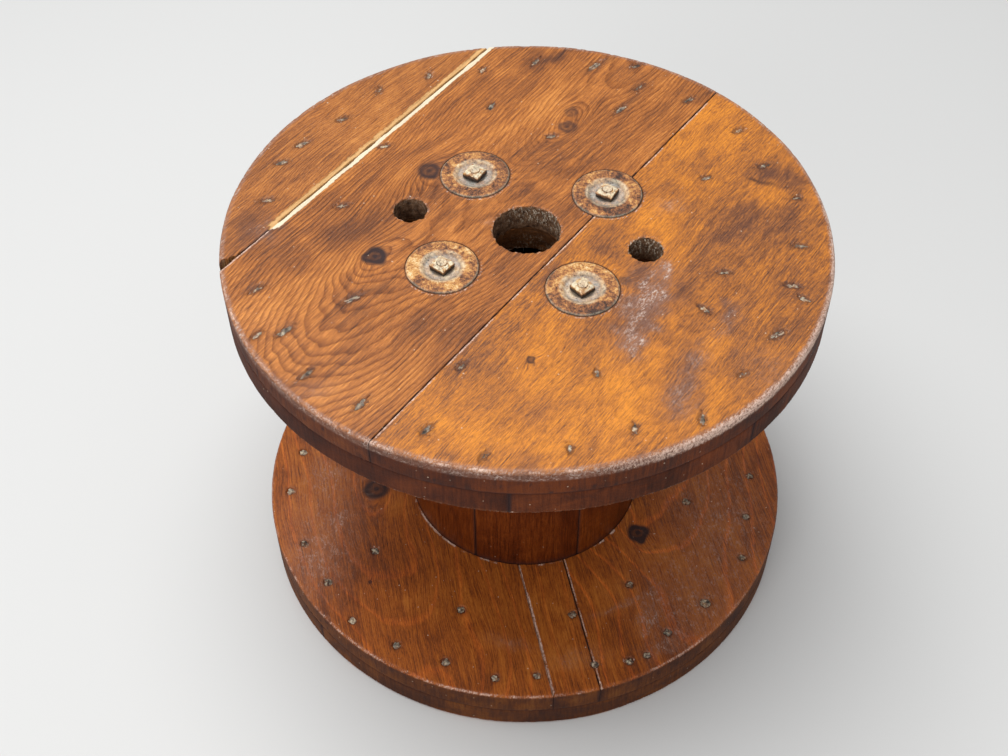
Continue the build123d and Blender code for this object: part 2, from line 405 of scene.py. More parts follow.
class Shader:
    """A node material, with short calls for the nodes that it is made of."""

    def __init__(self, name):
        self.material = bpy.data.materials.new(name)
        self.material.use_nodes = True
        self.tree = self.material.node_tree
        self.surface = self.tree.nodes["Principled BSDF"]

    def node(self, kind, inputs=(), **settings):
        made = self.tree.nodes.new(kind)
        for key, value in settings.items():
            setattr(made, key, value)
        for key, value in dict(inputs).items():
            self.put(value, made.inputs[key])
        return made

    def put(self, value, socket):
        if isinstance(value, bpy.types.NodeSocket):
            self.tree.links.new(value, socket)
        else:
            socket.default_value = value

    def math(self, operation, a, b=0.0, c=0.0, clamp=False):
        inputs = {0: a, 1: b, 2: c}
        return self.node("ShaderNodeMath", inputs, operation=operation, use_clamp=clamp).outputs[0]

    def times(self, a, b, clamp=False):
        return self.math("MULTIPLY", a, b, clamp=clamp)

    def line(self, a, slope, start):
        return self.math("MULTIPLY_ADD", a, slope, start)

    def total(self, start, *terms, centre=0.5):
        """The start value plus each factor's part above its centre, times its weight."""
        result = start - centre * sum(weight for _, weight in terms)
        for factor, weight in terms:
            result = self.line(factor, weight, result)
        return result

    def stored(self, name, vector=False):
        made = self.node("ShaderNodeAttribute", attribute_name=name)
        return made.outputs["Vector" if vector else "Fac"]

    def scaled(self, vector, scale):
        made = self.node("ShaderNodeVectorMath", {0: vector, 1: scale}, operation="MULTIPLY")
        return made.outputs[0]

    def noise(self, vector, scale, detail=3.0, roughness=0.55, distortion=0.0):
        inputs = {
            "Vector": vector, "Scale": scale, "Detail": detail,
            "Roughness": roughness, "Distortion": distortion,
        }
        return self.node("ShaderNodeTexNoise", inputs).outputs["Fac"]

    def ramp(self, factor, stops):
        made = self.node("ShaderNodeValToRGB", {"Fac": factor})
        elements = made.color_ramp.elements
        while len(elements) < len(stops):
            elements.new(0.5)
        for element, (position, colour) in zip(elements, stops):
            element.position = position
            element.color = (*colour, 1) if isinstance(colour, tuple) else (colour,) * 3 + (1,)
        return made.outputs["Color"]

    def step(self, factor, start, end, low=0.0, high=1.0):
        """A grey value that goes from low to high while the factor goes from start to end."""
        return self.ramp(factor, [(start, low), (end, high)])

    def mix(self, factor, a, b, blend="MIX"):
        made = self.node("ShaderNodeMix", data_type="RGBA", blend_type=blend)
        self.put(factor, made.inputs["Factor"])
        self.put((*a, 1) if isinstance(a, tuple) else a, made.inputs[6])
        self.put((*b, 1) if isinstance(b, tuple) else b, made.inputs[7])
        return made.outputs[2]

    def bump(self, height, distance, strength):
        inputs = {"Height": height, "Distance": distance, "Strength": strength}
        return self.node("ShaderNodeBump", inputs).outputs["Normal"]

    def set(self, **values):
        for key, value in values.items():
            self.put(value, self.surface.inputs[key.replace("_", " ")])


# Growth rings: a sharp dark line of late wood after a slow rise, or a thin pale line alone
LATE_WOOD = [(0.0, 0.4), (0.1, 0.0), (0.5, 0.1), (0.84, 0.85), (0.95, 1.0)]
PALE_LINE = [(0.0, 0.0), (0.8, 0.0), (0.9, 0.9), (0.95, 0.9), (1.0, 0.0)]


# Colours of what lies on the varnish and on the steel; the stain, haze, dust, rubbed and grime
# colours also paint shade, sheen and a highlight
STAIN_AND_SHADE = (0.033, 0.015, 0.014)
HAZE_AND_SHEEN = (0.27, 0.145, 0.105)
SCUFF_DUST_AND_SHEEN = (0.72, 0.6, 0.52)
RUBBED_AND_HIGHLIGHT = [(0.38, 0.2, 0.15), (0.9, 0.67, 0.54)]
SPECK = (0.66, 0.5, 0.36)
BORE_DUST = [(0.34, (0.04, 0.018, 0.01)), (0.5, (0.15, 0.075, 0.038)), (0.68, (0.32, 0.19, 0.11))]
FLAKE = (0.72, 0.62, 0.48)
RUST = [
    (0.12, (0.045, 0.018, 0.01)), (0.32, (0.2, 0.07, 0.024)), (0.5, (0.44, 0.175, 0.048)),
    (0.68, (0.64, 0.34, 0.1)), (0.92, (0.8, 0.64, 0.38)),
]
CRUST = (0.8, 0.72, 0.52)
PIT = (0.055, 0.026, 0.014)
GRIME_AND_SHADE = (0.022, 0.015, 0.011)


def wood(
    name, tones, raw, wall_shade_tint, ring_step=3.2, mottle=0.55, streak=0.7, depth=0.45,
    fine=1.3, short=0.65, sheen=0.24, rings=LATE_WOOD,
):
    """Varnished board: growth rings, fibres, blotches, stains with painted shade, wear with a
    painted highlight, scuffs with painted sheen, raw wood, and rim sides darkened as painted shade.
    """
    s = Shader(name)
    grain = s.stored("grain", vector=True)

    def drawn(stretch, *settings):
        """Noise drawn out along the grain."""
        return s.noise(s.scaled(grain, stretch), *settings)

    # Noises from broad blotches to short fibres
    wall = s.stored("wall")
    streaks = drawn((0.016, 1.0, 1.0), 0.5, 3.0, 0.65)
    fibres = drawn((0.035, 1.0, 1.0), 1.15, 6.0, 0.78)
    waver = drawn((0.02, 0.09, 0.09), 1.0, 4.0)
    blotch = drawn((0.6, 1.0, 1.0), 0.02, 4.0, 0.55, 1.0)
    curl = drawn((0.5, 1.0, 1.0), 0.065, 4.0, 0.55, 0.8)
    fuzz = drawn((0.22, 1.0, 1.0), 1.1, 6.0, 0.8)
    upright = drawn((1.0, 1.0, 0.08), 0.5, 5.0, 0.7)

    # Growth rings, and the varnish's colour over them
    ring = s.line(waver, 2.0, s.stored("ring"))
    phase = s.math("FRACT", s.math("DIVIDE", ring, ring_step))
    late = s.ramp(phase, rings)
    lines = s.times(late, s.stored("figure"))

    coarse = ((curl, mottle), (blotch, 0.75), (streaks, streak))
    tone = s.total(0.5, *coarse, (fibres, fine), (fuzz, short))
    tone = s.math("ADD", tone, s.times(s.stored("gold"), 0.2))
    stops = list(zip((0.1, 0.36, 0.58, 0.86), tones))
    colour = s.ramp(tone, stops)
    darker = s.mix(1.0, colour, (depth, depth * 0.86, depth * 0.82), "MULTIPLY")
    colour = s.mix(lines, colour, darker)
    pores = s.step(fibres, 0.3, 0.44, 0.5, 1.0)
    pores = s.times(pores, s.step(fuzz, 0.34, 0.5, 0.72, 1.0))
    colour = s.mix(min(0.65 * fine, 1.0), colour, pores, "MULTIPLY")
    side_tone = s.total(0.46, (upright, 0.9), (curl, 0.6), (blotch, 1.2), (fuzz, 0.5))
    # The rim sides take the wall tint, which darkens them as painted shade
    colour = s.mix(wall, colour, s.mix(1.0, s.ramp(side_tone, stops), wall_shade_tint, "MULTIPLY"))

    # Dark stains with painted shade, dusty scuffs with painted sheen, rubbed edges with a painted
    # highlight, specks, hole walls and raw wood
    patchy = s.line(curl, 0.7, 0.62)
    stain = s.times(s.stored("stain"), patchy, clamp=True)
    colour = s.mix(stain, colour, STAIN_AND_SHADE)
    net = drawn((0.5, 1.0, 1.0), 0.65, 8.0, 0.8, 0.5)
    scuff = s.stored("scuff")
    haze = s.times(scuff, s.step(net, 0.38, 0.56, 0.15, 0.75))
    colour = s.mix(haze, colour, HAZE_AND_SHEEN)
    heaps = drawn((0.7, 1.0, 1.0), 0.16, 4.0, 0.6)
    scuff = s.times(s.math("POWER", scuff, 1.6), s.step(heaps, 0.44, 0.6))
    scuff = s.times(scuff, s.step(net, 0.49, 0.6, 0.0, 0.85))
    colour = s.mix(scuff, colour, SCUFF_DUST_AND_SHEEN)
    crumbs = drawn((1.0, 1.0, 0.45), 0.7, 7.0, 0.75)
    rub_and_highlight = s.line(s.stored("worn"), 0.5, s.line(crumbs, 2.4, -1.2))
    rub_and_highlight = s.times(s.stored("worn"), s.step(rub_and_highlight, 0.22, 0.46))
    colour = s.mix(rub_and_highlight, colour, s.mix(s.step(fuzz, 0.36, 0.6), *RUBBED_AND_HIGHLIGHT))
    cells = s.node("ShaderNodeTexVoronoi", {"Vector": grain, "Scale": 0.11}).outputs["Distance"]
    speck = s.step(cells, 0.04, 0.075, 0.9, 0.0)
    speck = s.times(speck, s.step(net, 0.44, 0.54))
    colour = s.mix(speck, colour, SPECK)
    bore = s.stored("bore")
    torn = drawn((0.5, 1.0, 0.8), 0.38, 6.0, 0.72)
    colour = s.mix(bore, colour, s.ramp(torn, BORE_DUST))
    flakes = s.times(s.step(crumbs, 0.53, 0.59), s.times(bore, s.stored("dust")))
    colour = s.mix(flakes, colour, FLAKE)
    bare = s.stored("raw")
    shaded = tuple(c * 0.72 for c in raw)
    colour = s.mix(bare, colour, s.mix(s.step(fibres, 0.35, 0.6), shaded, raw))

    # Shine and relief
    roughness = s.total(0.36, (curl, 0.3), (fibres, 0.25))
    matt = ((bare, 0.35), (bore, 0.4), (wall, 0.52), (rub_and_highlight, 0.4), (stain, 0.25))
    matt = s.total(0.0, *matt, centre=0.0)
    roughness = s.math("ADD", roughness, matt, clamp=True)
    relief = ((lines, -0.5), (fibres, 1.2), (streaks, 0.4), (net, 0.3), (rub_and_highlight, 0.5))
    relief = s.total(0.0, *relief, centre=0.0)
    relief = s.math("ADD", relief, s.times(torn, s.times(bore, 2.5)))
    s.set(Base_Color=colour, Roughness=roughness, Normal=s.bump(relief, 0.0004, 0.8))
    s.set(Specular_IOR_Level=sheen, Coat_Weight=0.05, Coat_Roughness=0.15)
    return s.material


def rusty(name, bare, shine=0.5):
    """Rusted steel: grey where rubbed, tan and brown rust, cream crust and dark pits."""
    s = Shader(name)
    place = s.node("ShaderNodeTexCoord").outputs["Object"]
    cover = s.noise(place, 120.0, 8.0, 0.7, 0.6)
    fine = s.noise(place, 420.0, 7.0, 0.75, 0.4)
    grit = s.noise(place, 1100.0, 4.0, 0.7)
    tone = s.total(0.42, (fine, 1.5), (cover, 1.5), (grit, 0.6))
    tone = s.line(s.stored("tan"), 0.3, tone)
    colour = s.ramp(tone, RUST)
    rubbed = s.times(s.stored("bare"), s.step(cover, 0.34, 0.66, 1.0, 0.45), clamp=True)
    grey = s.mix(s.step(fine, 0.35, 0.6), tuple(c * 0.55 for c in bare), bare)
    colour = s.mix(rubbed, colour, grey)
    crust = s.times(s.stored("pale"), s.step(fine, 0.3, 0.54, 0.15, 1.0))
    colour = s.mix(crust, colour, CRUST)
    cells = s.node("ShaderNodeTexVoronoi", {"Vector": place, "Scale": 420.0}).outputs["Distance"]
    pits = s.step(cells, 0.1, 0.3, 1.0, 0.0)
    pits = s.times(pits, s.step(cover, 0.4, 0.56, 1.0, 0.1))
    colour = s.mix(s.times(pits, 0.85), colour, PIT)
    # Grime, and painted shade on the nuts' sides and in the washers' creases and gaps
    colour = s.mix(s.stored("grime_and_shade"), colour, GRIME_AND_SHADE)
    relief = s.total(0.0, (pits, -1.2), (fine, 1.2), (cover, 1.2), (crust, 0.4), centre=0.0)
    s.set(Base_Color=colour, Metallic=s.times(rubbed, 0.35))
    s.set(Roughness=s.line(rubbed, -0.12, shine + 0.14))
    s.set(Normal=s.bump(relief, 0.0005, 0.9))
    return s.material


RAW_TAN = (0.72, 0.42, 0.17)
RAW_WHITE = (0.86, 0.74, 0.54)
# Tint that darkens the rim sides: painted shade
RIM_SHADE_TINT = (0.4, 0.28, 0.24)
DEEP = (0.105, 0.038, 0.02)
strip_wood = wood(
    "varnished_strip", [DEEP, (0.24, 0.082, 0.025), (0.43, 0.15, 0.034), (0.62, 0.25, 0.06)],
    RAW_TAN, RIM_SHADE_TINT, ring_step=2.2, mottle=0.32, depth=0.55,
)
middle_wood = wood(
    "varnished_middle_board",
    [DEEP, (0.26, 0.088, 0.025), (0.45, 0.152, 0.032), (0.67, 0.26, 0.058)],
    RAW_WHITE, RIM_SHADE_TINT, ring_step=2.5, mottle=0.32, depth=0.5,
)
right_wood = wood(
    "varnished_right_board",
    [(0.115, 0.046, 0.028), (0.255, 0.092, 0.031), (0.49, 0.166, 0.027), (0.73, 0.26, 0.026)],
    RAW_WHITE, (0.26, 0.155, 0.11), ring_step=2.9, mottle=0.42, streak=0.4, fine=1.35, short=1.15,
)
# The inner ply's tones are kept darker than the outer boards' to paint the shade seen on its rim
inner_wood = wood(
    "varnished_inner_ply",
    [(0.05, 0.018, 0.007), (0.11, 0.038, 0.012), (0.19, 0.066, 0.017), (0.3, 0.11, 0.026)],
    RAW_TAN, (0.6, 0.38, 0.32), sheen=0.15,
)
bottom_wood = wood(
    "varnished_bottom_flange",
    [(0.1, 0.028, 0.013), (0.22, 0.056, 0.013), (0.37, 0.096, 0.015), (0.52, 0.165, 0.026)],
    RAW_TAN, (0.34, 0.38, 0.5), ring_step=13.0, mottle=0.5, streak=0.6, depth=1.75, fine=1.5,
    short=0.75, sheen=0.16, rings=PALE_LINE,
)
stave_wood = wood(
    "varnished_stave",
    [(0.04, 0.008, 0.003), (0.08, 0.014, 0.003), (0.135, 0.026, 0.004), (0.23, 0.055, 0.008)],
    RAW_TAN, (1.0, 1.0, 1.0), mottle=0.45, streak=0.6, depth=0.7, sheen=0.15,
)
washer_steel = rusty("rusty_washer", (0.6, 0.58, 0.51))
nut_steel = rusty("rusty_nut", (0.5, 0.46, 0.38), 0.42)
nail_steel = rusty("rusty_nail", (0.36, 0.34, 0.29))


# Flanges


def board_directions(grain):
    """The unit vectors along the boards and across them."""
    return polar(1, grain), polar(1, grain - 90)


def rim_drop(p, rounding, seed):
    """How far the rounded edge lies below the face, near the rim."""
    depth = np.clip(FLANGE_RADIUS - norm(p), 0, None)
    rounding = rounding * (1 + 0.1 * waves(p, 60, seed))
    into = np.clip(rounding - depth, 0, rounding)
    drop = rounding - np.sqrt(rounding**2 - into**2)
    chips = smooth(waves(p, 8, seed + 1) + 0.5 * waves(p, 26, seed + 2), 0.7, 1.3)
    return drop + chips * smooth(depth, 4.5, 0.5) * 0.45


def circle_drop(p, steps):
    """The deepest of the round pockets that a point lies in."""
    drop = np.zeros(len(p))
    for centre, low, high, depth in steps:
        radius = norm(p - centre)
        drop = np.where((radius < high) & (radius >= low), np.maximum(drop, depth), drop)
    return drop


def pocket_steps(sink):
    """The stepped pockets for the cup washers."""
    rim = WASHER_RADIUS + POCKET_CLEARANCE
    cup = CUP_RADIUS + WASHER_THICKNESS + POCKET_CLEARANCE
    depth = sink + WASHER_THICKNESS
    centres = [polar(BOLT_CIRCLE, angle) for angle in BOLT_ANGLES]
    return [(c, 0, rim, depth) for c in centres] + [(c, 0, cup, depth + CUP_DROP) for c in centres]


def groove_steps():
    """The ring groove that takes the stave ends."""
    low, high = STAVE_FLAT - GROOVE_CLEARANCE, BARREL_RADIUS + GROOVE_CLEARANCE
    return [(np.zeros(2), low, high, GROOVE_DEPTH)]


def step_points(steps, spacing=1.1):
    """Rows of points on both sides of each pocket's wall."""
    rows = []
    for centre, low, high, _ in steps:
        for radius in (low, high):
            if radius > 0:
                inner, outer = radius - WALL_SPREAD, radius + WALL_SPREAD
                rows += [ring_points(centre, r, spacing) for r in (inner, outer)]
    return rows


HOLES = [
    (np.zeros(2), ARBOR_RADIUS),
    (np.array([DRIVE_CIRCLE, 0.0]), DRIVE_RADIUS),
    (np.array([-DRIVE_CIRCLE, 0.0]), DRIVE_RADIUS),
]
BLIND_HOLES = [(centre, 0, radius, DRIVE_DEPTH) for centre, radius in HOLES[1:]]


def hole_drop(p, seed):
    """The worn and chipped edges of the spindle and drive holes."""
    drop = np.zeros(len(p))
    for k, (centre, radius) in enumerate(HOLES):
        out = norm(p - centre) - radius
        ragged = 0.8 + 1.1 * waves(p, 4.5, seed + k) + 0.7 * waves(p, 13, seed + 10 + k)
        drop += np.clip(ragged, 0.2, 3.2) * smooth(out, 1.9, 0.0) * 0.8
    return drop


def nail_reach(p, nails, margin, rough):
    """How near each point is to a nail: 1 on the uneven edge of its dimple."""
    reach = np.full(len(p), 9.0)
    for k, (centre, angle, long_half, short_half) in enumerate(nails):
        size = np.array([long_half + margin, short_half + margin * 0.8])
        near = norm(p - centre) < 2.2 * size[0]
        local = (p[near] - centre) @ turn(-angle)
        oval = np.hypot(*(local / size).T)
        uneven = 1 + rough * waves(local, 4.0, 70 + k) + 0.4 * rough * waves(local, 1.8, 170 + k)
        reach[near] = np.minimum(reach[near], oval * uneven)
    return reach


def nail_points(nails, margin, spacing):
    """Close rows of points round each nail."""
    rows = []
    for centre, angle, long_half, short_half in nails:
        size = np.array([long_half + margin, short_half + margin * 0.8])
        for scale in (0.2, 0.45, 0.65, 0.8, 0.92, 1.05, 1.2, 1.4):
            ring = ring_points((0, 0), 1.0, spacing / scale) * size * scale
            rows.append(ring @ turn(angle) + centre)
    return rows


def seam_drop(across, seams, seed, p):
    """The eased edges of the seams."""
    drop = np.zeros(len(p))
    for seam in seams:
        ease = SEAM_GROOVE * (1 + 0.2 * waves(p, 12, seed))
        drop = np.maximum(drop, np.clip(ease - np.abs(across - seam), 0, None))
    return drop


def split_shape(along, across):
    """The sprung seam: how far into its torn ledges each point lies, and into the crack."""
    line = along[:, None]
    t = across - SPLIT_SEAM
    left = 4.3 * (1 + 0.08 * waves(line, 26, 71) + 0.06 * waves(line, 6, 72))
    right = 4.7 * (1 + 0.04 * waves(line, 40, 74) + 0.03 * waves(line, 5, 75))
    width = np.where(t < 0, left, right)
    end = SPLIT_END + 3.5 * np.abs(t + 0.5) / 4 + 0.8 * waves(across[:, None], 3, 76)
    ledge = smooth(width - np.abs(t), -0.15, 0.45) * smooth(along, end - 0.6, end + 0.8)
    half = 0.55 + 0.22 * waves(line, 18, 77)
    crack = smooth(np.abs(t + 0.4), half + 0.45, half - 0.1)
    crack = crack * smooth(along, SPLIT_END + 9, SPLIT_END + 16)
    return ledge, crack, t


def split_drop(along, across):
    """How deep the sprung seam is: torn ledges that slope to a dark crack."""
    ledge, crack, t = split_shape(along, across)
    fibre = waves(np.column_stack([along * 0.06, across * 1.3]), 2.0, 73)
    slope = np.where(t < 0, 1.7 - 0.25 * np.abs(t), 0.9 - 0.12 * t)
    return ledge * np.clip(slope + 0.16 * fibre, 0.2, None) + crack * (SPLIT_DEPTH - 1.5)


def notch_drop(along, across, p):
    """The corner broken away at the rim."""
    t = SPLIT_SEAM - across
    reach = NOTCH_WIDTH * (NOTCH_START - along) / (NOTCH_START + FLANGE_RADIUS * 0.727)
    ragged = 0.9 * waves(p, 5, 81) + 0.4 * waves(p, 2, 82)
    into = np.minimum(np.minimum(t + 0.3, reach - t + ragged), NOTCH_START - along)
    return NOTCH_DEPTH * smooth(into, 0.0, 0.9)


def knot_effect(p, ply):
    """How knots bend the rings, how dark each one is, and the glow round it."""
    bend, shade = np.zeros(len(p)), np.zeros(len(p))
    directions = np.stack(board_directions(ply.grain), axis=1)
    for k, (x, y, radius, darkness) in enumerate(ply.knots):
        offset = p - photo_spot(x, y)
        local = offset @ directions
        local[:, 0] = np.where(local[:, 0] < 0, local[:, 0] * 0.62, local[:, 0])
        oval = np.hypot(local[:, 0] / (radius * 2.3), local[:, 1] / (radius * 1.55))
        bend += radius * 1.35 * np.exp(-(oval**1.5))
        edge = norm(offset) / radius
        near = edge < 2
        uneven = edge[near] * (1 + 0.1 * waves(p[near], radius * 1.4, 90 + k))
        core = 1.0 - 0.3 * smooth(np.abs(uneven - 0.35), 0.28, 0.05)
        shade[near] = np.maximum(shade[near], darkness * smooth(uneven, 1.18, 0.7) * core)
    return bend, shade


def wander(along, across, seed):
    """How far the rings and fibres stray sideways."""
    plan = np.column_stack([along * 0.35, across])
    return 1.4 * waves(plan, 46, seed + 2) + 0.25 * waves(plan, 12, seed + 3)


def ring_field(along, across, height, log):
    """Distance from the tree's pith, which wanders a little beside the board."""
    pith_across, pith_height, slope, seed = log
    s = along[:, None]
    middle = pith_across + 7 * waves(s, 260, seed)
    level = pith_height + slope * along + 4 * waves(s, 180, seed + 1)
    field = np.hypot(across - middle, height - level)
    return field + wander(along, across, seed)


def scatter_nails(counts, radii, seed, short_half=1.3):
    """Nail ends in rough circles, where the photograph doesn't show them."""
    rng = np.random.default_rng(seed)
    nails = []
    for radius, number in zip(radii, counts):
        for k in range(number):
            angle = 360 / number * (k + rng.uniform(-0.25, 0.25))
            centre = polar(radius * rng.uniform(0.97, 1.03), angle)
            nails.append((centre, rng.uniform(0, 180), rng.uniform(2.6, 3.6), short_half))
    return nails


top_nails = [
    (photo_spot(x, y), angle + PHOTO_TURN, length / 2, 1.1 + 0.09 * length)
    for x, y, angle, length in TOP_NAILS
]
bottom_nails = [
    (photo_spot(x, y), 0.0, radius * 1.12, radius * 1.12) for x, y, radius in BOTTOM_NAILS
]
hidden_back = scatter_nails((12, 6), (205, 150), 5, 2.6)
bottom_nails += [(c, a, 2.6, s) for c, a, _, s in hidden_back if (c @ turn(-PHOTO_TURN))[1] > 10]
under_nails = scatter_nails((22, 14), (205, 140), 6)
ceiling_nails = [(c, a, 2.6, 2.6) for c, a, _, _ in scatter_nails((20, 12), (205, 150), 7)]


def photo_angle(p):
    """The angle of each point round the drum, in the photograph's directions."""
    return np.arctan2(p[:, 1], p[:, 0]) - math.radians(PHOTO_TURN)


def facing(p, degrees):
    """From 0 to 1: how nearly each point lies towards an angle of the photograph."""
    return smooth(np.cos(photo_angle(p) - math.radians(degrees)), -0.2, 0.75)


def spots_value(p, spots):
    """Soft round or oval patches: x, y, half length, half width, turn and amount."""
    q = p @ turn(-PHOTO_TURN) / FLANGE_RADIUS
    value = np.zeros(len(p))
    for x, y, length, width, angle, amount in spots:
        local = (q - (x, y)) @ turn(-angle)
        local = local + min(0.012, width / 4) * np.column_stack([waves(p, 16, 5), waves(p, 16, 6)])
        value += amount * np.exp(-((local[:, 0] / length) ** 2) - (local[:, 1] / width) ** 2)
    return value


class Ply:
    """One layer of boards in a flange: which way they run, and what shows on them."""

    def __init__(self, name, boards, grain, seams, up, spacing, sink=None, groove=False):
        self.name, self.boards, self.grain = name, boards, grain
        self.seams, self.up, self.spacing = seams, up, spacing
        self.coarse = max(spacing / 1.8, 1.0)
        self.steps = pocket_steps(sink) if sink is not None else []
        self.steps += groove_steps() if groove else []
        self.groove = groove
        self.nails, self.knots, self.logs, self.woods = [], [], [], []
        self.nail_margin, self.nail_rough, self.nail_sink = 1.6, 0.15, 0.8
        self.gold, self.scuffs, self.figures = [], [], [0.5] * boards
        self.dusty_seam, self.marks = None, []
        self.seed = sum(ord(letter) for letter in name)
        self.split = name == "top_flange_outer"

    def drop(self, p):
        """How far the shown face lies below its level at each point."""
        u, a = board_directions(self.grain)
        along, across = p @ u, p @ a
        rounding = 2.0 + (2.6 * facing(p, -50) if self.split else 0.6)
        reach = nail_reach(p, self.nails, self.nail_margin, self.nail_rough)
        dimples = smooth(reach, 1.1, 0.8)
        drop = rim_drop(p, rounding, self.seed) + self.nail_sink * dimples
        drop = np.maximum(drop, seam_drop(across, self.seams, self.seed + 5, p))
        drop = drop + hole_drop(p, self.seed + 20)
        drop = np.maximum(drop, circle_drop(p, self.steps))
        if self.split:
            drop = np.maximum(drop, split_drop(along, across))
            drop = np.maximum(drop, notch_drop(along, across, p))
        return drop + 0.1 * np.clip(1 + waves(p, 70, self.seed + 9), 0, None)

    def hidden(self, p):
        """How far the joint face is sunk: only the drive holes of a grooved ply stop short."""
        return circle_drop(p, BLIND_HOLES if self.groove else [])

    def extra_points(self):
        """Rows of points where the face changes quickly."""
        u, a = board_directions(self.grain)
        angles = np.radians(np.arange(0, 360, 0.38 * self.coarse))
        circle = np.stack([np.cos(angles), np.sin(angles)], axis=1)
        rows = [circle * (FLANGE_RADIUS - d) for d in (0.1, 0.35, 0.8, 1.4, 2.2, 3.2, 4.4, 5.6)]
        for centre, radius in HOLES:
            rows += [ring_points(centre, radius + d, 0.8) for d in (0.3, 0.8, 1.4, 2.1)]
        if self.groove:
            rows += [ring_points((0, 0), BARREL_RADIUS + d, 1.1) for d in (0.7, 1.3, 2.1, 3.0)]
        reach = np.arange(-FLANGE_RADIUS, FLANGE_RADIUS, 1.2 * self.coarse)
        for seam in self.seams:
            for side in (0.35, 0.6, 0.95, 1.5):
                rows += [np.outer(reach, u) + a * (seam + sign * side) for sign in (-1, 1)]
        if self.split:
            fine = np.arange(SPLIT_END - 5, FLANGE_RADIUS, 0.85)
            sides = np.arange(-5.6, 5.0, 0.36)
            rows += [
                np.outer(fine + 0.42 * (k % 2), u) + a * (SPLIT_SEAM + side)
                for k, side in enumerate(sides)
            ]
            corner = np.meshgrid(np.arange(-170, -138, 0.55), np.arange(-168, -155, 0.55))
            rows.append(np.stack(corner, -1).reshape(-1, 2) @ np.stack([u, a]))
        rows += step_points(self.steps)
        rows += nail_points(self.nails, self.nail_margin, 0.26 * self.coarse)
        for x, y, radius, _ in self.knots:
            scales = (0.3, 0.6, 0.85, 1.0, 1.15)
            rows += [ring_points(photo_spot(x, y), radius * scale, 0.9) for scale in scales]
        return thin_out(np.vstack(rows), 0.11)

    def joint_points(self):
        return np.vstack(step_points(BLIND_HOLES, 1.5)) if self.groove else NO_POINTS


def thin_out(points, least):
    """Leaves out each point that lies almost on an earlier one."""
    cells = np.round(points / least).astype(np.int64)
    _, first = np.unique(cells, axis=0, return_index=True)
    return points[np.sort(first)]


def roughen_holes(vertices, seed):
    """Tears the walls of the spindle and drive holes a little, outwards only."""
    for k, (centre, radius) in enumerate(HOLES):
        offset = vertices[:, :2] - centre
        reach = norm(offset)
        near = np.abs(reach - radius) < 0.3
        if not near.any():
            continue
        p = vertices[near]
        push = 0.25 + 0.3 * waves(p * (1, 1, 0.6), 3.2, seed + k)
        push = push + 0.28 * waves(p, 9, seed + 30 + k)
        vertices[near, :2] += offset[near] / reach[near][:, None] * np.clip(push, 0, 1.1)[:, None]


def roughen_rim(vertices, seed, joint_level):
    """Dents in the rim, and the eased edge at the joint between the plies."""
    reach = norm(vertices[:, :2])
    near = reach > FLANGE_RADIUS - 0.05
    p = vertices[near]
    push = 0.12 + waves(p, 45, seed) * 0.1 + waves(p * (1, 1, 0.3), 7, seed + 1) * 0.06
    push = np.clip(push, 0, 0.9) + 0.35 * smooth(np.abs(p[:, 2] - joint_level), 0.9, 0.0)
    vertices[near, :2] *= (1 - push / reach[near])[:, None]


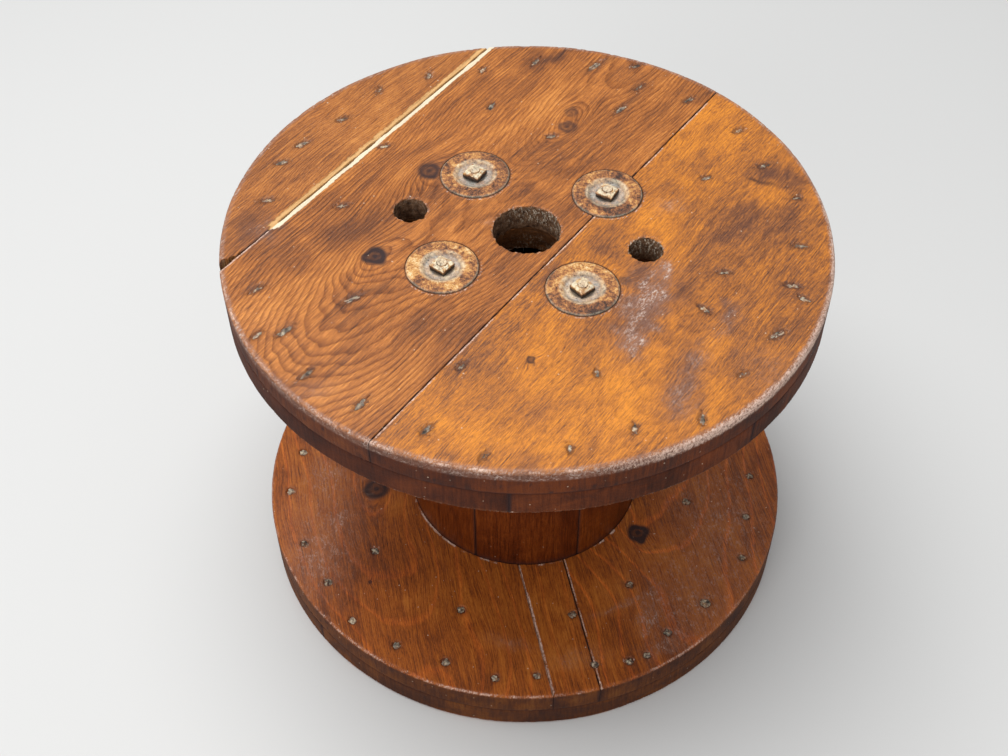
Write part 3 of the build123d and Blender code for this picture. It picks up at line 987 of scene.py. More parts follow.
class Board:
    """The points of one board, and the masks from 0 to 1 that say how it looks at each."""

    def __init__(self, ply, vertices, kinds, level):
        u, a = board_directions(ply.grain)
        self.ply, self.seed = ply, ply.seed
        self.vertices, self.kinds = vertices, kinds
        self.p = vertices[:, :2]
        self.along, self.across = self.p @ u, self.p @ a
        self.height = (vertices[:, 2] - level) * ply.up
        self.rim_depth = FLANGE_RADIUS - norm(self.p)
        self.shown = self.height > -SHOWN_DEPTH
        self.bend, self.stain = knot_effect(self.p, ply)
        self.raw, self.bore, self.worn, self.edge = np.zeros((4, len(self.p)))
        coarse, close = waves(vertices, 16, self.seed + 60), waves(vertices, 5, self.seed + 59)
        self.ragged = 0.4 + 0.35 * coarse + 0.3 * close

    def lift(self, **masks):
        """Raises each mask to the values given, where it is lower."""
        for name, value in masks.items():
            setattr(self, name, np.maximum(getattr(self, name), value))

    def mark_top_rim(self):
        """The top face's rim: a broad pale band at the right, partly rubbed wood and partly a
        painted highlight, and chips along the front.
        """
        depth, height = self.rim_depth, self.height
        broad = smooth(np.cos(photo_angle(self.p) + math.radians(28)), 0.42, 0.92)
        front = smooth(np.cos(photo_angle(self.p) + math.radians(110)), 0.1, 0.7)
        dent = 0.5 + 0.5 * waves(self.p, 24, self.seed + 63)
        # The broad band is partly rubbed wood and partly a painted highlight
        self.lift(worn=broad * smooth(depth, 4.5 + 2.0 * dent, 1.2) * smooth(height, -10.5, -5.5))
        chipped = smooth(np.abs(depth - 1.6), 1.8, 0.4) * smooth(height, -3.5, -1.5)
        self.lift(worn=front * chipped * np.clip(0.25 + 0.5 * dent, 0, 1))
        self.lift(edge=0.8 * smooth(depth, 5.0, 3.0) * smooth(height, -8.5, -6.5))

    def mark_split(self):
        """Raw wood and the dark crack of the sprung seam, and the broken corner with painted shade
        in its depth.
        """
        here = self.kinds >= 0
        ledge, crack, _ = split_shape(self.along, self.across)
        ledge, crack = ledge * here, crack * here
        broken = notch_drop(self.along, self.across, self.p) * here
        self.lift(raw=ledge * (1 - crack) * smooth(self.height, -6.5, -4.6), stain=crack)
        self.lift(raw=0.6 * smooth(np.abs(broken - 6.5), 6.0, 3.0) * (broken > 0.3))
        # Painted shade: the broken corner darker the deeper it goes
        self.lift(stain=smooth(broken, 1.0, 6.0) * 0.92)

    def mark_rim(self):
        """The lightly rubbed rim of the other faces."""
        p, seed = self.p, self.seed
        dent = np.clip(0.5 + 0.45 * waves(p, 60, seed + 63) + 0.25 * waves(p, 14, seed + 64), 0, 1)
        worn = smooth(self.rim_depth, 3.4, 0.8) * (0.15 + 0.65 * dent * facing(p, -110))
        self.lift(worn=worn * smooth(self.height, -3.2, -1.2))

    def mark_holes(self):
        """Dusty walls and rubbed edges of the spindle and drive holes."""
        dusty = 0.28 if self.ply.groove else 1.0
        for centre, radius in HOLES:
            out = norm(self.p - centre) - radius
            self.lift(bore=dusty * smooth(out, 0.9, 0.2) * smooth(self.height, -0.2, -0.9))
            rubbed = 0.7 * smooth(out, 2.8, 0.4) * self.shown
            self.lift(worn=rubbed * np.clip(self.ragged, 0, 1))

    def mark_seam(self, seam):
        """Dirt in a seam, a pale line on one side of it, and its crack in the rim."""
        p, seed, solid = self.p, self.seed, self.raw < 0.1
        t = np.abs(self.across - seam)
        packed = seam == self.ply.dusty_seam
        broken = np.clip(1.1 + 0.5 * waves(p, 9, seed + 65), 0.3, 1.3)
        self.lift(stain=(0.35 if packed else 0.95 * broken) * smooth(t, 0.9, 0.35) * solid)
        pale = smooth(np.abs(t - 1.3), 0.9, 0.3) * smooth(waves(p, 45, seed + 61), -1.3, 0.3)
        self.lift(worn=0.95 * pale * (self.across > seam) * self.shown * solid)
        if packed:
            packing = smooth(t, 1.2, 0.4) * np.clip(0.55 + broken * 0.4, 0, 1)
            self.lift(worn=packing * self.shown)
        if self.ply.up > 0:
            crack = 0.8 * smooth(t, 2.6 + 1.2 * waves(self.vertices, 6, seed + 66), 0.5)
            crack = crack * smooth(self.height, -2.5, -6.0)
            self.lift(stain=crack * (self.rim_depth < 1.0))

    def mark_pockets(self):
        """Painted shadow in the gap round the washers' pockets, strongest on the near side, and
        rubbed rings round them.
        """
        pockets = self.ply.steps[:4] if len(self.ply.steps) > 1 else []
        for centre, _, radius, _ in pockets:
            out = norm(self.p - centre) - radius
            near_side = facing(self.p - centre, -70)
            # Painted shadow in the gap at the pocket's edge, stronger on the near side
            self.lift(stain=(0.45 + 0.5 * near_side) * smooth(np.abs(out + 0.1), 0.9, 0.3))
            pale = 0.25 + 0.65 * near_side * np.clip(self.ragged + 0.4, 0, 1)
            self.lift(worn=smooth(np.abs(out - 1.5), 0.9, 0.2) * pale * self.shown)

    def mark_barrel_foot(self):
        """Dust that lies round the end of the barrel."""
        p, seed = self.p, self.seed
        out = norm(p) - BARREL_RADIUS
        heaps = np.clip(0.3 + 0.6 * waves(p, 40, seed + 67) + 0.5 * waves(p, 9, seed + 68), 0.1, 1)
        self.lift(worn=heaps * smooth(np.abs(out - 1.0), 2.0, 0.4) * self.shown)

    def mark_nails(self):
        """Smears, dark dimples round the nails, and rubbed flecks of the grain elsewhere."""
        ply, p, shown = self.ply, self.p, self.shown
        reach = nail_reach(p, ply.nails, ply.nail_margin, ply.nail_rough)
        self.lift(stain=spots_value(p, ply.marks) * shown)
        self.lift(stain=0.62 * smooth(reach, 1.15, 0.75) * shown)
        self.lift(stain=0.26 * smooth(reach, 1.8, 0.9) * shown)
        plan = p @ np.stack(board_directions(ply.grain), axis=1)
        flecks = smooth(waves(plan * (0.35, 1), 3.0, self.seed + 62), 0.5, 1.2)
        some = smooth(waves(p, 70, self.seed + 69), 0.1, 0.9)
        bare = smooth(reach, 1.55, 1.1) * (reach > 0.75)
        self.lift(worn=0.7 * flecks * some * bare * shown)

    def mark_wall(self, joint):
        """The dark line between the plies, and painted shade on the top flange's left side."""
        wall = self.rim_depth < 1.2
        self.lift(stain=0.55 * smooth(np.abs(self.vertices[:, 2] - joint), 1.1, 0.3) * wall)
        if self.ply.name.startswith("top"):
            # Painted shade: the left side of the top flange's rim darkened
            painted_left_shade = 0.42 * facing(self.p, 190) * smooth(self.height, -1.5, -4.0)
            self.lift(stain=painted_left_shade * wall)

    def mark(self, joint):
        """Marks the board all over; the joint is the level where the two plies meet."""
        if self.ply.split:
            self.mark_top_rim()
            self.mark_split()
        else:
            self.mark_rim()
        self.mark_holes()
        for seam in self.ply.seams:
            self.mark_seam(seam)
        self.mark_pockets()
        if self.ply.groove:
            self.mark_barrel_foot()
        self.mark_nails()
        self.mark_wall(joint)

    def values(self, number):
        """What the wood's material reads at each point."""
        ply, p, height = self.ply, self.p, self.height
        along, across = self.along, self.across
        offset = np.array([137.0, 311.0, 59.0]) * (number + self.seed % 17)
        figure, log = ply.figures[number - 1], ply.logs[number - 1]
        astray = np.tanh((across - log[0]) / 12) * (wander(along, across, log[3]) - self.bend)
        return {
            "grain": np.column_stack([along, across + astray, height]) + offset,
            "ring": ring_field(along, across, height, log) - self.bend + 40,
            "figure": figure(p) if callable(figure) else np.full(len(p), figure),
            "gold": spots_value(p, ply.gold),
            "scuff": np.maximum(np.clip(spots_value(p, ply.scuffs), 0, 1) * self.shown, self.edge),
            "stain": np.clip(self.stain, 0, 1.1), "worn": np.clip(self.worn, 0, 1),
            "raw": self.raw, "bore": self.bore,
            "dust": (0.15 + 0.85 * facing(p, 35)) * smooth(height, -20.0, -12.0),
            "wall": smooth(height, -0.8, -2.8) * (self.rim_depth < 1.5),
        }


def build_ply(ply):
    """Makes every board of a ply as a dense, worn piece in place of its CAD node."""
    extra = ply.extra_points()
    for number in range(1, ply.boards + 1):
        node = f"{ply.name}_board_{number}"
        low, high = (corner.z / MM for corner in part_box(node))
        face, joint = (high, low) if ply.up > 0 else (low, high)
        cut = section_loops(node, joint + 2.0 * ply.up)
        loops = [resample(loop, 1.3 * ply.coarse) for loop in cut]
        if ply.groove:
            # Short loops round a drive circle are blind holes, which a pocket makes instead
            loops = [loop for loop in loops if abs(area(loop)) > 1.5 * math.pi * DRIVE_RADIUS**2]
        loops = oriented(loops)
        shown = face_points(loops, ply.spacing, ply.grain, extra)
        joint_plan = face_points(loops, JOINT_SPACING, ply.grain, ply.joint_points())
        fractions = BOARD_ROWS if ply.up > 0 else [1 - f for f in reversed(BOARD_ROWS)]

        def face_level(p):
            return face - ply.up * ply.drop(p)

        def joint_level(p):
            return joint + ply.up * ply.hidden(p)

        ends = [(face_level, shown), (joint_level, joint_plan)]
        vertices, kinds, faces = slab(loops, *ends[:: ply.up], fractions)
        board = Board(ply, vertices, kinds * ply.up, face)
        board.mark(joint)
        values = board.values(number)
        roughen_rim(vertices, ply.seed + 40, joint)
        roughen_holes(vertices, ply.seed + 50)
        material = ply.woods[min(number, len(ply.woods)) - 1]
        piece = make_piece(f"{node}_worn", vertices, faces, node, material, values)


def middle_figure(p):
    """Ring lines on the middle board: strongest at the front left and at the far end."""
    q = p @ turn(-PHOTO_TURN) / FLANGE_RADIUS
    left = smooth(-q[:, 0] - 0.45 * q[:, 1], -0.1, 0.45)
    far = smooth(q[:, 1], 0.35, 0.65)
    return 0.4 + 0.45 * np.maximum(left, 0.7 * far)


top_outer = Ply("top_flange_outer", 3, 68.2, (SPLIT_SEAM, 32.5), 1, 1.6, sink=-WASHER_STAND)
top_outer.nails, top_outer.knots = top_nails, TOP_KNOTS
top_outer.logs = [(-330, -40, 0.02, 1), (-48, -62, 0.13, 4), (150, -65, 0.1, 7)]
top_outer.woods = [strip_wood, middle_wood, right_wood]
top_outer.figures = [0.5, middle_figure, 0.22]
# Golden places above 0 and dull purple-brown ones below: x, y, sizes, turn, amount
top_outer.gold = [
    (0.27, -0.69, 0.24, 0.18, 20, 1.0), (0.55, -0.47, 0.07, 0.2, -20, 0.9),
    (0.42, 0.02, 0.09, 0.1, 0, 0.9), (0.6, 0.25, 0.08, 0.06, 20, 0.7),
    (0.81, 0.178, 0.1, 0.04, -12, 1.0), (0.05, -0.48, 0.12, 0.1, 55, 0.7),
    (-0.55, 0.58, 0.2, 0.1, 55, 0.3), (-0.62, 0.4, 0.12, 0.08, 55, 0.5),
    (-0.1, 0.45, 0.25, 0.12, 55, 0.4), (0.12, 0.72, 0.22, 0.08, 55, 0.6),
    (-0.72, -0.31, 0.22, 0.12, 50, 1.3), (-0.25, -0.8, 0.15, 0.1, 55, 0.8),
    (0.36, -0.36, 0.08, 0.18, -14, -1.5), (0.5, -0.58, 0.05, 0.08, -25, -1.9),
    (0.44, -0.72, 0.055, 0.09, -15, -1.9), (0.63, -0.39, 0.045, 0.09, -25, -1.6),
    (0.86, 0.27, 0.1, 0.045, -15, -1.5), (0.3, -0.02, 0.09, 0.05, 20, -0.9),
    (0.73, 0.07, 0.2, 0.13, 10, -0.7), (0.85, -0.28, 0.09, 0.18, -10, -0.7),
    (0.12, -0.2, 0.16, 0.07, 40, -0.5), (-0.3, 0.2, 0.12, 0.07, 20, -0.8),
    (-0.09, 0.11, 0.16, 0.05, 40, -0.3), (-0.88, -0.01, 0.08, 0.08, 0, -1.3),
    (0.06, 0.41, 0.16, 0.04, 15, -0.9), (0.08, 0.9, 0.12, 0.03, 35, -1.2),
    (-0.24, -0.36, 0.12, 0.07, 40, -0.7), (0.07, 0.62, 0.06, 0.06, 0, 0.9),
    (0.66, 0.4, 0.14, 0.1, -30, 0.7), (0.6, 0.62, 0.1, 0.05, -40, 0.7),
    (0.2, -0.45, 0.1, 0.06, 10, -0.4), (0.46, 0.42, 0.14, 0.05, 45, 0.4),
    (-0.46, 0.72, 0.1, 0.05, 30, 0.5), (0.7, -0.62, 0.16, 0.05, 45, -0.3),
    (-0.75, 0.22, 0.1, 0.06, 40, 0.5), (-0.47, 0.05, 0.2, 0.04, 38, -0.4),
    (-0.62, -0.06, 0.18, 0.1, 40, -0.8), (-0.4, -0.45, 0.14, 0.1, 40, -0.5),
    (-0.14, -0.86, 0.12, 0.06, 10, 0.9), (0.62, -0.18, 0.1, 0.09, 0, -0.5),
    (-0.68, -0.5, 0.09, 0.06, 40, 0.6),
]
# Cracks, and dark smears beside some nails
top_outer.marks = [
    (0.8, 0.237, 0.045, 0.011, -16, 0.65), (0.76, 0.252, 0.02, 0.008, -35, 0.6),
    (0.09, 0.925, 0.07, 0.014, 30, 0.6), (0.29, 0.91, 0.05, 0.012, 40, 0.5),
    (0.37, 0.67, 0.05, 0.01, 48, 0.5), (0.62, 0.7, 0.04, 0.01, 42, 0.4),
    (-0.5, -0.29, 0.05, 0.01, 36, 0.5), (0.12, 0.35, 0.06, 0.006, 25, 0.35),
    (-0.2, 0.1, 0.1, 0.006, 25, 0.35),
]
top_outer.scuffs = [
    (0.36, -0.35, 0.055, 0.16, -14, 0.9), (0.44, -0.19, 0.035, 0.03, 0, 1.0),
    (0.32, -0.49, 0.03, 0.05, 0, 0.9), (0.41, -0.3, 0.04, 0.05, 0, 0.8),
    (0.5, -0.6, 0.04, 0.1, -20, 0.5), (0.45, -0.73, 0.05, 0.06, -12, 0.5),
    (0.63, -0.39, 0.03, 0.08, -25, 0.4), (-0.1, 0.02, 0.02, 0.05, 50, 0.4),
    (0.47, 0.12, 0.05, 0.03, 30, 0.5), (-0.86, -0.02, 0.05, 0.06, 0, 0.35),
    (0.75, -0.62, 0.1, 0.14, 45, 0.25), (-0.62, -0.7, 0.06, 0.03, 20, 0.3),
]

top_inner = Ply("top_flange_inner", 4, 158.2, (-193.0, -47.2, 110.0), -1, 3.0, groove=True)
top_inner.nails, top_inner.nail_margin, top_inner.nail_rough = ceiling_nails, 0.9, 0.04
top_inner.logs = [
    (-260, -40, 0.0, 11), (-120, -50, 0.06, 14), (30, -45, -0.08, 17), (240, -60, 0.0, 19),
]
top_inner.woods = [inner_wood]

bottom_inner = Ply("bottom_flange_inner", 3, 116.2, (-27.0, 11.5), 1, 1.8, groove=True)
bottom_inner.nails, bottom_inner.knots = bottom_nails, BOTTOM_KNOTS
bottom_inner.nail_margin, bottom_inner.nail_rough, bottom_inner.nail_sink = 0.8, 0.06, 1.3
bottom_inner.logs = [(-140, -55, 0.1, 21), (-60, -40, 0.02, 24), (114, -45, 0.24, 27)]
bottom_inner.woods = [bottom_wood]
bottom_inner.figures = [0.45, 0.25, 0.7]
bottom_inner.dusty_seam = -27.0
bottom_inner.gold = [
    (-0.25, -0.6, 0.2, 0.22, 0, 0.6), (0.1, -0.7, 0.08, 0.2, 0, 0.9),
    (0.33, -0.55, 0.12, 0.1, 0, 0.7), (0.2, -0.85, 0.15, 0.06, 0, 0.6),
    (0.55, -0.45, 0.06, 0.2, 20, 0.8), (-0.6, -0.36, 0.14, 0.24, 0, -0.8),
    (-0.5, -0.15, 0.07, 0.06, 0, 1.0), (0.75, -0.35, 0.14, 0.27, 10, 0.6),
    (-0.8, -0.2, 0.1, 0.25, 0, 0.2),
]
# Scuffs and dust; the broad patches at the left and right are also painted sheen
bottom_inner.scuffs = [
    (0.75, -0.25, 0.2, 0.35, 0, 0.52), (-0.75, -0.25, 0.16, 0.35, 0, 0.35),
    (-0.78, -0.45, 0.1, 0.14, 0, 0.35), (-0.78, -0.03, 0.07, 0.07, 0, 0.4),
    (0.46, -0.67, 0.035, 0.1, -8, 0.55), (0.36, -0.62, 0.12, 0.012, 25, 0.5),
    (0.52, -0.78, 0.1, 0.03, 35, 0.45), (-0.05, -0.78, 0.07, 0.025, -15, 0.4),
    (0.6, -0.62, 0.17, 0.2, 40, 0.42), (-0.71, -0.25, 0.04, 0.04, 0, 0.4),
    (0.2, -0.84, 0.1, 0.04, 10, 0.3),
]

bottom_outer = Ply("bottom_flange_outer", 3, 26.2, (-82.5, 108.0), -1, 3.0, sink=BOTTOM_SINK)
bottom_outer.nails = under_nails
bottom_outer.logs = [(-160, -55, 0.05, 31), (10, -40, 0.08, 34), (180, -50, -0.05, 37)]
bottom_outer.woods = [bottom_wood]

for ply in (top_outer, top_inner, bottom_inner, bottom_outer):
    build_ply(ply)


# Barrel staves


def build_stave(number):
    """A stave with its rounded outside slightly dented, in place of its CAD node."""
    node = f"barrel_stave_{number}"
    low, high = (corner.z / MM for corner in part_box(node))
    loops = oriented([resample(loop, 1.8) for loop in section_loops(node, (low + high) / 2)])
    plan = face_points(loops, STAVE_END_SPACING, 0.0)
    vertices, _, faces = slab(loops, (flat(high), plan), (flat(low), plan), STAVE_ROWS)
    middle = FIRST_STAVE_SEAM + 360 / STAVE_COUNT * (number - 0.5)
    reach = norm(vertices[:, :2])
    outside = reach > BARREL_RADIUS - 1.2
    dents = np.clip(0.12 + 0.12 * waves(vertices * (1, 1, 0.25), 14, 300 + number), 0, 0.5)
    tangent = vertices[:, :2] @ polar(1, middle + 90)
    radial = vertices[:, :2] @ polar(1, middle)
    from_seam = np.abs(np.abs(np.degrees(np.arctan2(tangent, radial))) - 180 / STAVE_COUNT)
    end = np.minimum(vertices[:, 2] - low, high - vertices[:, 2]) - GROOVE_DEPTH
    count = len(vertices)
    rubbed = smooth(waves(vertices, 6, 510), 0.2, 1.0)
    blank = dict.fromkeys(("scuff", "raw", "wall", "bore", "dust"), np.zeros(count))
    log = (14.0 * (number % 3 - 1), 40.0, 0.06, 400 + number)
    values = {
        "grain": np.column_stack([vertices[:, 2], tangent, radial]) + 211.0 * number,
        "ring": ring_field(vertices[:, 2], tangent, radial, log),
        "figure": np.full(count, 0.35), "gold": np.full(count, 0.6 * math.sin(number * 2.3)),
        # Dark joints along the stave seams, and darker towards both ends, where the staves go into
        # the flanges
        "stain": np.clip(0.9 * smooth(from_seam, 1.0, 0.25) + 0.6 * smooth(end, 4.0, 0.0), 0, 1),
        "worn": 0.5 * smooth(np.abs(end - 2.0), 2.0, 0.5) * rubbed,
        **blank,
    }
    vertices[outside, :2] *= (1 - dents[outside] / reach[outside])[:, None]
    piece = make_piece(f"{node}_worn", vertices, faces, node, stave_wood, values, sharp=50)


for number in range(1, STAVE_COUNT + 1):
    build_stave(number)


# Bolts, nuts, washers and nails


def bands(rings, size, flip=False, start=0, closed=False):
    """Faces between each ring of points and the next, all of one size."""
    faces = []
    for i in range(rings if closed else rings - 1):
        a, b = start + i * size, start + (i + 1) % rings * size
        for k in range(size):
            n = (k + 1) % size
            faces.append((a + k, a + n, b + n, b + k))
    return [face[::-1] for face in faces] if flip else faces


def lathe(profile, centre, level, up, segments):
    """Turns a closed profile of (radius, height) points about an upright line."""
    circle = unit_circle(segments)
    rows = [
        np.column_stack([circle * r + centre, np.full(segments, level + up * h)])
        for r, h in profile
    ]
    return np.vstack(rows), bands(len(profile), segments, up < 0, closed=True)


def fine_profile(corners, step):
    """Points along a closed outline of straight runs."""
    points = []
    for a, b in zip(corners, corners[1:] + corners[:1]):
        a, b = np.array(a), np.array(b)
        count = max(int(np.linalg.norm(b - a) / step), 1)
        points += [a + (b - a) * k / count for k in range(count)]
    return points


def build_washer(node, angle, level, up, seed, tan):
    """A cup washer with a crowned, rust-eaten ring and a grey cup."""
    seat = CUP_RADIUS - CUP_SLOPE
    hole = BOLT_RADIUS + 0.25
    corners = [
        (hole, -CUP_DROP), (seat - 2.2, -CUP_DROP), (seat - 1.0, -CUP_DROP + 0.18),
        (seat, -CUP_DROP + 0.62), (CUP_RADIUS, -0.78), (CUP_RADIUS + 0.9, -0.28),
        (CUP_RADIUS + 2.2, -0.06), (20.0, 0.0), (23.5, -0.12), (25.4, -0.35), (26.5, -0.75),
        (WASHER_RADIUS, -1.4), (WASHER_RADIUS, -WASHER_THICKNESS),
        (CUP_RADIUS + WASHER_THICKNESS, -WASHER_THICKNESS),
        (seat + WASHER_THICKNESS, -CUP_DROP - WASHER_THICKNESS),
        (hole, -CUP_DROP - WASHER_THICKNESS),
    ]
    centre = polar(BOLT_CIRCLE, angle)
    step, segments = WASHER_DETAIL[up]
    vertices, faces = lathe(fine_profile(corners, step)[::-1], centre, level, up, segments)
    plan = vertices[:, :2]
    radius = norm(plan - centre)
    height = (vertices[:, 2] - level) * up
    shown = height > -CUP_DROP - 0.4
    eaten = smooth(waves(vertices, 3.2, seed) + 0.6 * waves(vertices, 1.5, seed + 1), 0.3, 1.4)
    sag = 0.08 * (1 + waves(vertices, 20, seed + 2))
    vertices[:, 2] -= up * shown * (eaten * 0.26 * smooth(radius, CUP_RADIUS, CUP_RADIUS + 1) + sag)
    side = 0.3 * waves(plan, 34, seed + 4) + 0.35 * (facing(plan - centre, 150) - 0.4)
    patchy = np.clip(0.8 + 0.3 * waves(vertices, 8.0, seed + 3), 0, 1)
    values = {
        "tan": tan + side - 0.7 * smooth(radius, 25.6, 26.8),
        "bare": 0.8 * smooth(radius, CUP_RADIUS - 0.2, CUP_RADIUS - 2.0),
        "pale": 0.6 * smooth(np.abs(radius - CUP_RADIUS - 0.3), 2.6, 0.3) * patchy
        + 0.3 * smooth(np.abs(radius - 26.6), 0.6, 0.2) * patchy,
        # Darker where the cup wall meets its floor, partly grime and partly painted shade; painted
        # shadow on the rim's edge down in the pocket gap; darker round the foot of the nut, partly
        # dirt and partly painted shade
        "grime_and_shade": np.clip(
            0.22 * smooth(np.abs(radius - CUP_RADIUS + 1.6), 1.8, 0.2) * smooth(height, -0.8, -1.8)
            + 0.9 * smooth(height, -1.1, -2.0) * (radius > WASHER_RADIUS - 0.6)
            + 0.8 * smooth(radius, 9.8, 7.8), 0, 1,
        ),
    }
    piece = make_piece(f"{node}_rusted", vertices, faces, node, washer_steel, values)


def build_nut(number, angle, spin, seed):
    """A square nut with chamfered, eaten corners round the bolt's end."""
    node = f"tie_bolt_nut_{number}"
    low, high = (corner.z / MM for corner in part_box(node))
    loops = oriented([resample(loop, 0.5) for loop in section_loops(node, low + 1.0)])
    centre = polar(BOLT_CIRCLE, angle)
    plan = face_points(loops, 0.45, spin)

    def top(p):
        edge = NUT_CHAMFER * smooth(nearest(p, loops[0]), 1.9, 0.0)
        corner = 0.5 * smooth(norm(p - centre), 7.2, 9.0)
        pits = 0.1 * (1 + waves(p, 1.3, seed + 2))
        return high - edge - corner - 0.2 * (1 + waves(p, 3.0, seed)) - pits

    vertices, _, faces = slab(loops, (top, plan), (flat(low), NO_POINTS), NUT_ROWS)
    out = vertices[:, :2] - centre
    reach = norm(out)
    eaten = np.clip(0.25 + 0.25 * waves(vertices, 3.5, seed + 1), 0, 0.8)
    eaten = eaten * (reach > BOLT_RADIUS + 1.5)
    vertices[:, :2] -= out / reach[:, None] * eaten[:, None]
    height = vertices[:, 2] - low
    crown = smooth(height, NUT_HEIGHT * 0.6, NUT_HEIGHT * 0.85)
    ring = 0.1 * smooth(np.abs(reach - 4.2), 0.5, 0.1)
    values = {
        "tan": 0.1 + 0.6 * crown, "bare": 0.25 * crown,
        "pale": np.clip(0.72 + 0.6 * waves(vertices, 4.5, seed + 5), 0, 1) * crown,
        # The nut's sides darker below the crown: painted shade; and a faint dark ring round the
        # bolt
        "grime_and_shade": np.clip(0.97 * smooth(height, 4.2, 1.6) + ring, 0, 1),
    }
    piece = make_piece(f"{node}_rusted", vertices, faces, node, nut_steel, values, sharp=40)


def build_bolt(number, angle, seed):
    """A tie bolt: square head below, long shank, worn thread above."""
    node = f"tie_bolt_{number}"
    low, high = (corner.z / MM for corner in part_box(node))
    circle = unit_circle(BOLT_SIDES)
    square = np.minimum(1 / np.abs(circle).max(axis=1), 1.36) * HEAD_WIDTH / 2
    head = ((0, 0.86), (0.5, 0.96), (1.1, 1), (4.4, 1), (5.2, 0.97))
    rows = [(low + height, square * scale) for height, scale in head]
    thread_start = high - THREAD_LENGTH
    rows += [(z, BOLT_RADIUS) for z in np.arange(low + 5.2, thread_start - 1, 8.0)]
    for z in np.arange(thread_start, high - 0.7, THREAD_STEP):
        thread = 0.5 + 0.5 * math.cos(2 * math.pi * (z - thread_start) / THREAD_PITCH)
        rows.append((z, BOLT_RADIUS - 0.35 * thread))
    rows += [(high - 0.35, BOLT_RADIUS - 0.35), (high - 0.06, BOLT_RADIUS - 0.9)]
    rows += [(high - 0.15, BOLT_RADIUS * 0.62), (high - 0.1, BOLT_RADIUS * 0.3)]
    centre, turned = polar(BOLT_CIRCLE, angle), circle @ turn(angle)
    vertices = []
    for z, radii in rows:
        spread = turned * np.broadcast_to(radii, BOLT_SIDES)[:, None]
        vertices.append(np.column_stack([spread + centre, np.full(BOLT_SIDES, z)]))
    vertices = np.vstack(vertices)
    faces = bands(len(rows), BOLT_SIDES)
    last = (len(rows) - 1) * BOLT_SIDES
    faces += [tuple(range(BOLT_SIDES))[::-1], tuple(range(last, last + BOLT_SIDES))]
    pits = np.clip(1 + waves(vertices, 2.0, seed), 0, None)
    vertices[:, 2] -= 0.12 * (vertices[:, 2] > high - 0.3) * pits
    level = vertices[:, 2]
    values = {
        "tan": np.full(len(vertices), 0.25), "bare": np.full(len(vertices), 0.12),
        "pale": 0.65 * smooth(level, high - 1.2, high - 0.5),
        # The thread darker towards the nut
        "grime_and_shade": 0.3 * smooth(level, high - 1.2, high - 6.0),
    }
    piece = make_piece(f"{node}_rusted", vertices, faces, node, nut_steel, values, sharp=40)


nut_spins = [74.0, 72.0, 66.0, 54.0]
# How tan the rust of each top washer is, from brown at 0 to gold at 1
washer_tans = [-0.2, -0.25, 0.25, 0.1]
for number, (angle, spin, tan) in enumerate(zip(BOLT_ANGLES, nut_spins, washer_tans), 1):
    seed = 10 * (number - 1)
    build_washer(f"top_washer_{number}", angle, TOP + WASHER_STAND, 1, 600 + seed, tan)
    build_washer(f"bottom_washer_{number}", angle, BOTTOM_SINK, -1, 700 + seed, 0.0)
    build_nut(number, angle, spin, 800 + seed)
    build_bolt(number, angle, 900 + seed)


def build_nails(name, nails, level, up, seed, sunk, crown, pale=0.5, grime_and_shade=0.5):
    """Bent ends or heads of nails, hammered in below the face."""
    rng = np.random.default_rng(seed)
    every, faces, start = [], [], 0
    around = NAIL_SIDES
    rim = unit_circle(around)
    for centre, angle, long_half, short_half in nails:
        rows = []
        for i in range(NAIL_RINGS):
            slope = i / NAIL_RINGS * math.pi / 2
            rows.append(np.column_stack([rim * math.cos(slope), np.full(around, math.sin(slope))]))
        local = np.vstack(rows + [np.array([[0.0, 0.0, 1.0]])])
        wave_seed = int(rng.integers(1, 9999))
        local[:, :2] *= (long_half, short_half)
        uneven = 1 + 0.24 * waves(local[:, :2], 3.4, wave_seed)
        local[:, :2] *= uneven[:, None]
        local[:, 2] *= 1 + 0.35 * waves(local[:, :2], 2.2, wave_seed + 1)
        plan = local[:, :2] @ turn(angle) + centre
        depth = sunk + 0.5 - local[:, 2] * crown * rng.uniform(0.8, 1.1)
        every.append(np.column_stack([plan, level - up * depth]))
        faces += bands(NAIL_RINGS, around, up < 0, start)
        last = start + (NAIL_RINGS - 1) * around
        for k in range(around):
            tip = (last + k, last + (k + 1) % around, last + around)
            faces.append(tip if up > 0 else tip[::-1])
        base = tuple(range(start, start + around))
        faces.append(base[::-1] if up > 0 else base)
        start += len(local)
    vertices = np.vstack(every)
    patchy = waves(vertices, 9.0, seed)
    values = {
        "tan": -0.3 + 0.3 * patchy, "bare": np.clip(0.5 + 0.35 * patchy, 0, 1),
        "pale": pale * smooth(waves(vertices, 3.0, seed + 1), 0.4 - pale, 1.2 - pale),
        "grime_and_shade": np.clip(grime_and_shade + 0.35 * waves(vertices, 6.0, seed + 2), 0, 1),
    }
    piece = make_piece(name, vertices, faces, None, nail_steel, values)


bottom_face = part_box("bottom_flange_inner_board_1")[1].z / MM
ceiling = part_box("top_flange_inner_board_2")[0].z / MM
build_nails("top_face_nails", top_nails, TOP, 1, 41, 0.75, 0.6, 0.55, 0.35)
build_nails("bottom_flange_nails", bottom_nails, bottom_face, 1, 42, 1.2, 1.1, 0.65, 0.05)
build_nails("base_nails", under_nails, 0.0, -1, 43, 1.05, 0.6)
build_nails("top_flange_underside_nails", ceiling_nails, ceiling, -1, 44, 1.05, 0.6)


# Floor, light and camera


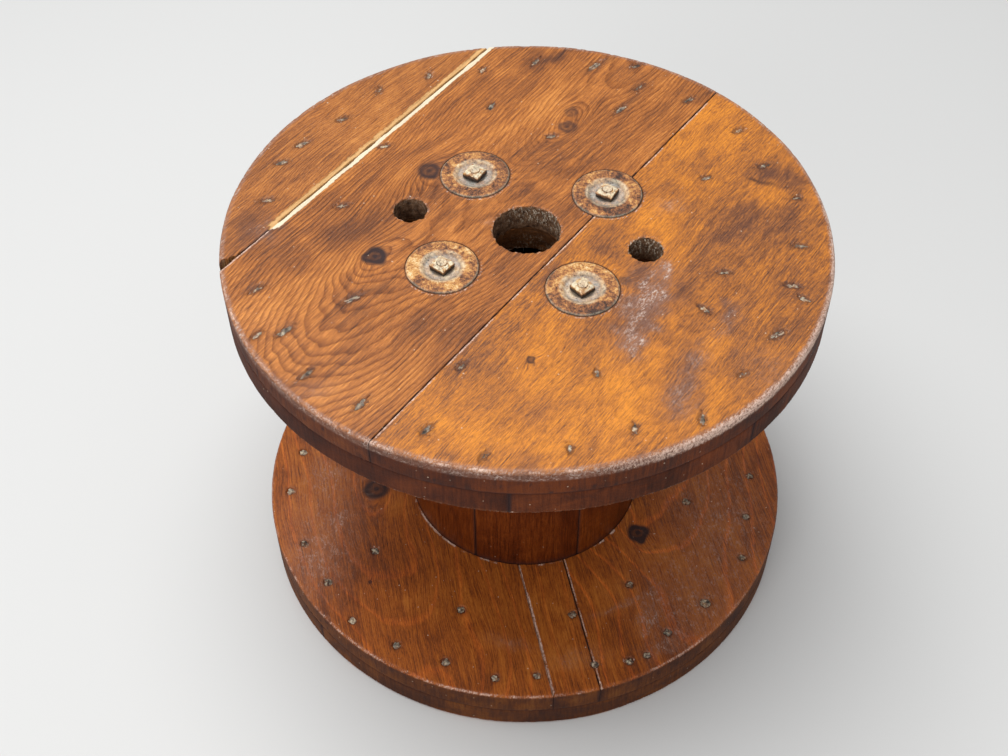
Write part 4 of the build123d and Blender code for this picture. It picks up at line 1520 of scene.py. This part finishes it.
def add_floor():
    mesh = bpy.data.meshes.new("floor")
    corners = [(x * FLOOR_HALF, y * FLOOR_HALF, 0) for x, y in ((-1, -1), (1, -1), (1, 1), (-1, 1))]
    mesh.from_pydata(corners, [], [(0, 1, 2, 3)])
    shader = Shader("pale_floor")
    shader.set(Base_Color=FLOOR_COLOUR, Roughness=0.85, Specular_IOR_Level=0.2)
    mesh.materials.append(shader.material)
    floor = bpy.data.objects.new("floor", mesh)
    bpy.context.collection.objects.link(floor)


def add_lamp(name, place, size, power):
    lamp = bpy.data.lights.new(name, "AREA")
    lamp.shape = "SQUARE"
    lamp.size = size
    lamp.energy = power
    holder = bpy.data.objects.new(name, lamp)
    holder.location = place
    aim = Vector(LAMP_TARGET) - Vector(place)
    holder.rotation_euler = aim.to_track_quat("-Z", "Y").to_euler()
    bpy.context.collection.objects.link(holder)


def add_light():
    world = bpy.data.worlds.new("studio")
    world.use_nodes = True
    background = world.node_tree.nodes["Background"].inputs
    background["Color"].default_value = WORLD_COLOUR
    background["Strength"].default_value = WORLD_STRENGTH
    bpy.context.scene.world = world
    for lamp in LAMPS:
        add_lamp(*lamp)


def add_camera():
    to_frame = Matrix.Rotation(math.radians(PHOTO_TURN), 3, "Z")
    heading = Matrix.Rotation(-CAMERA_YAW, 3, "Z")
    tilt = Matrix.Rotation(math.pi / 2 - CAMERA_PITCH, 3, "X")
    axes = to_frame @ heading @ tilt @ Matrix.Rotation(CAMERA_ROLL, 3, "Z")
    place = to_frame @ Vector((0, -CAMERA_BACK, CAMERA_HEIGHT)) * MM
    data = bpy.data.cameras.new("photo_camera")
    data.lens, data.sensor_width, data.sensor_fit = LENS, SENSOR, "HORIZONTAL"
    data.clip_start, data.clip_end = 0.05, 30
    camera = bpy.data.objects.new("photo_camera", data)
    camera.matrix_world = Matrix.Translation(place) @ axes.to_4x4()
    bpy.context.collection.objects.link(camera)
    bpy.context.scene.camera = camera


add_floor()
add_light()
add_camera()
bpy.context.scene.view_settings.view_transform = "Standard"
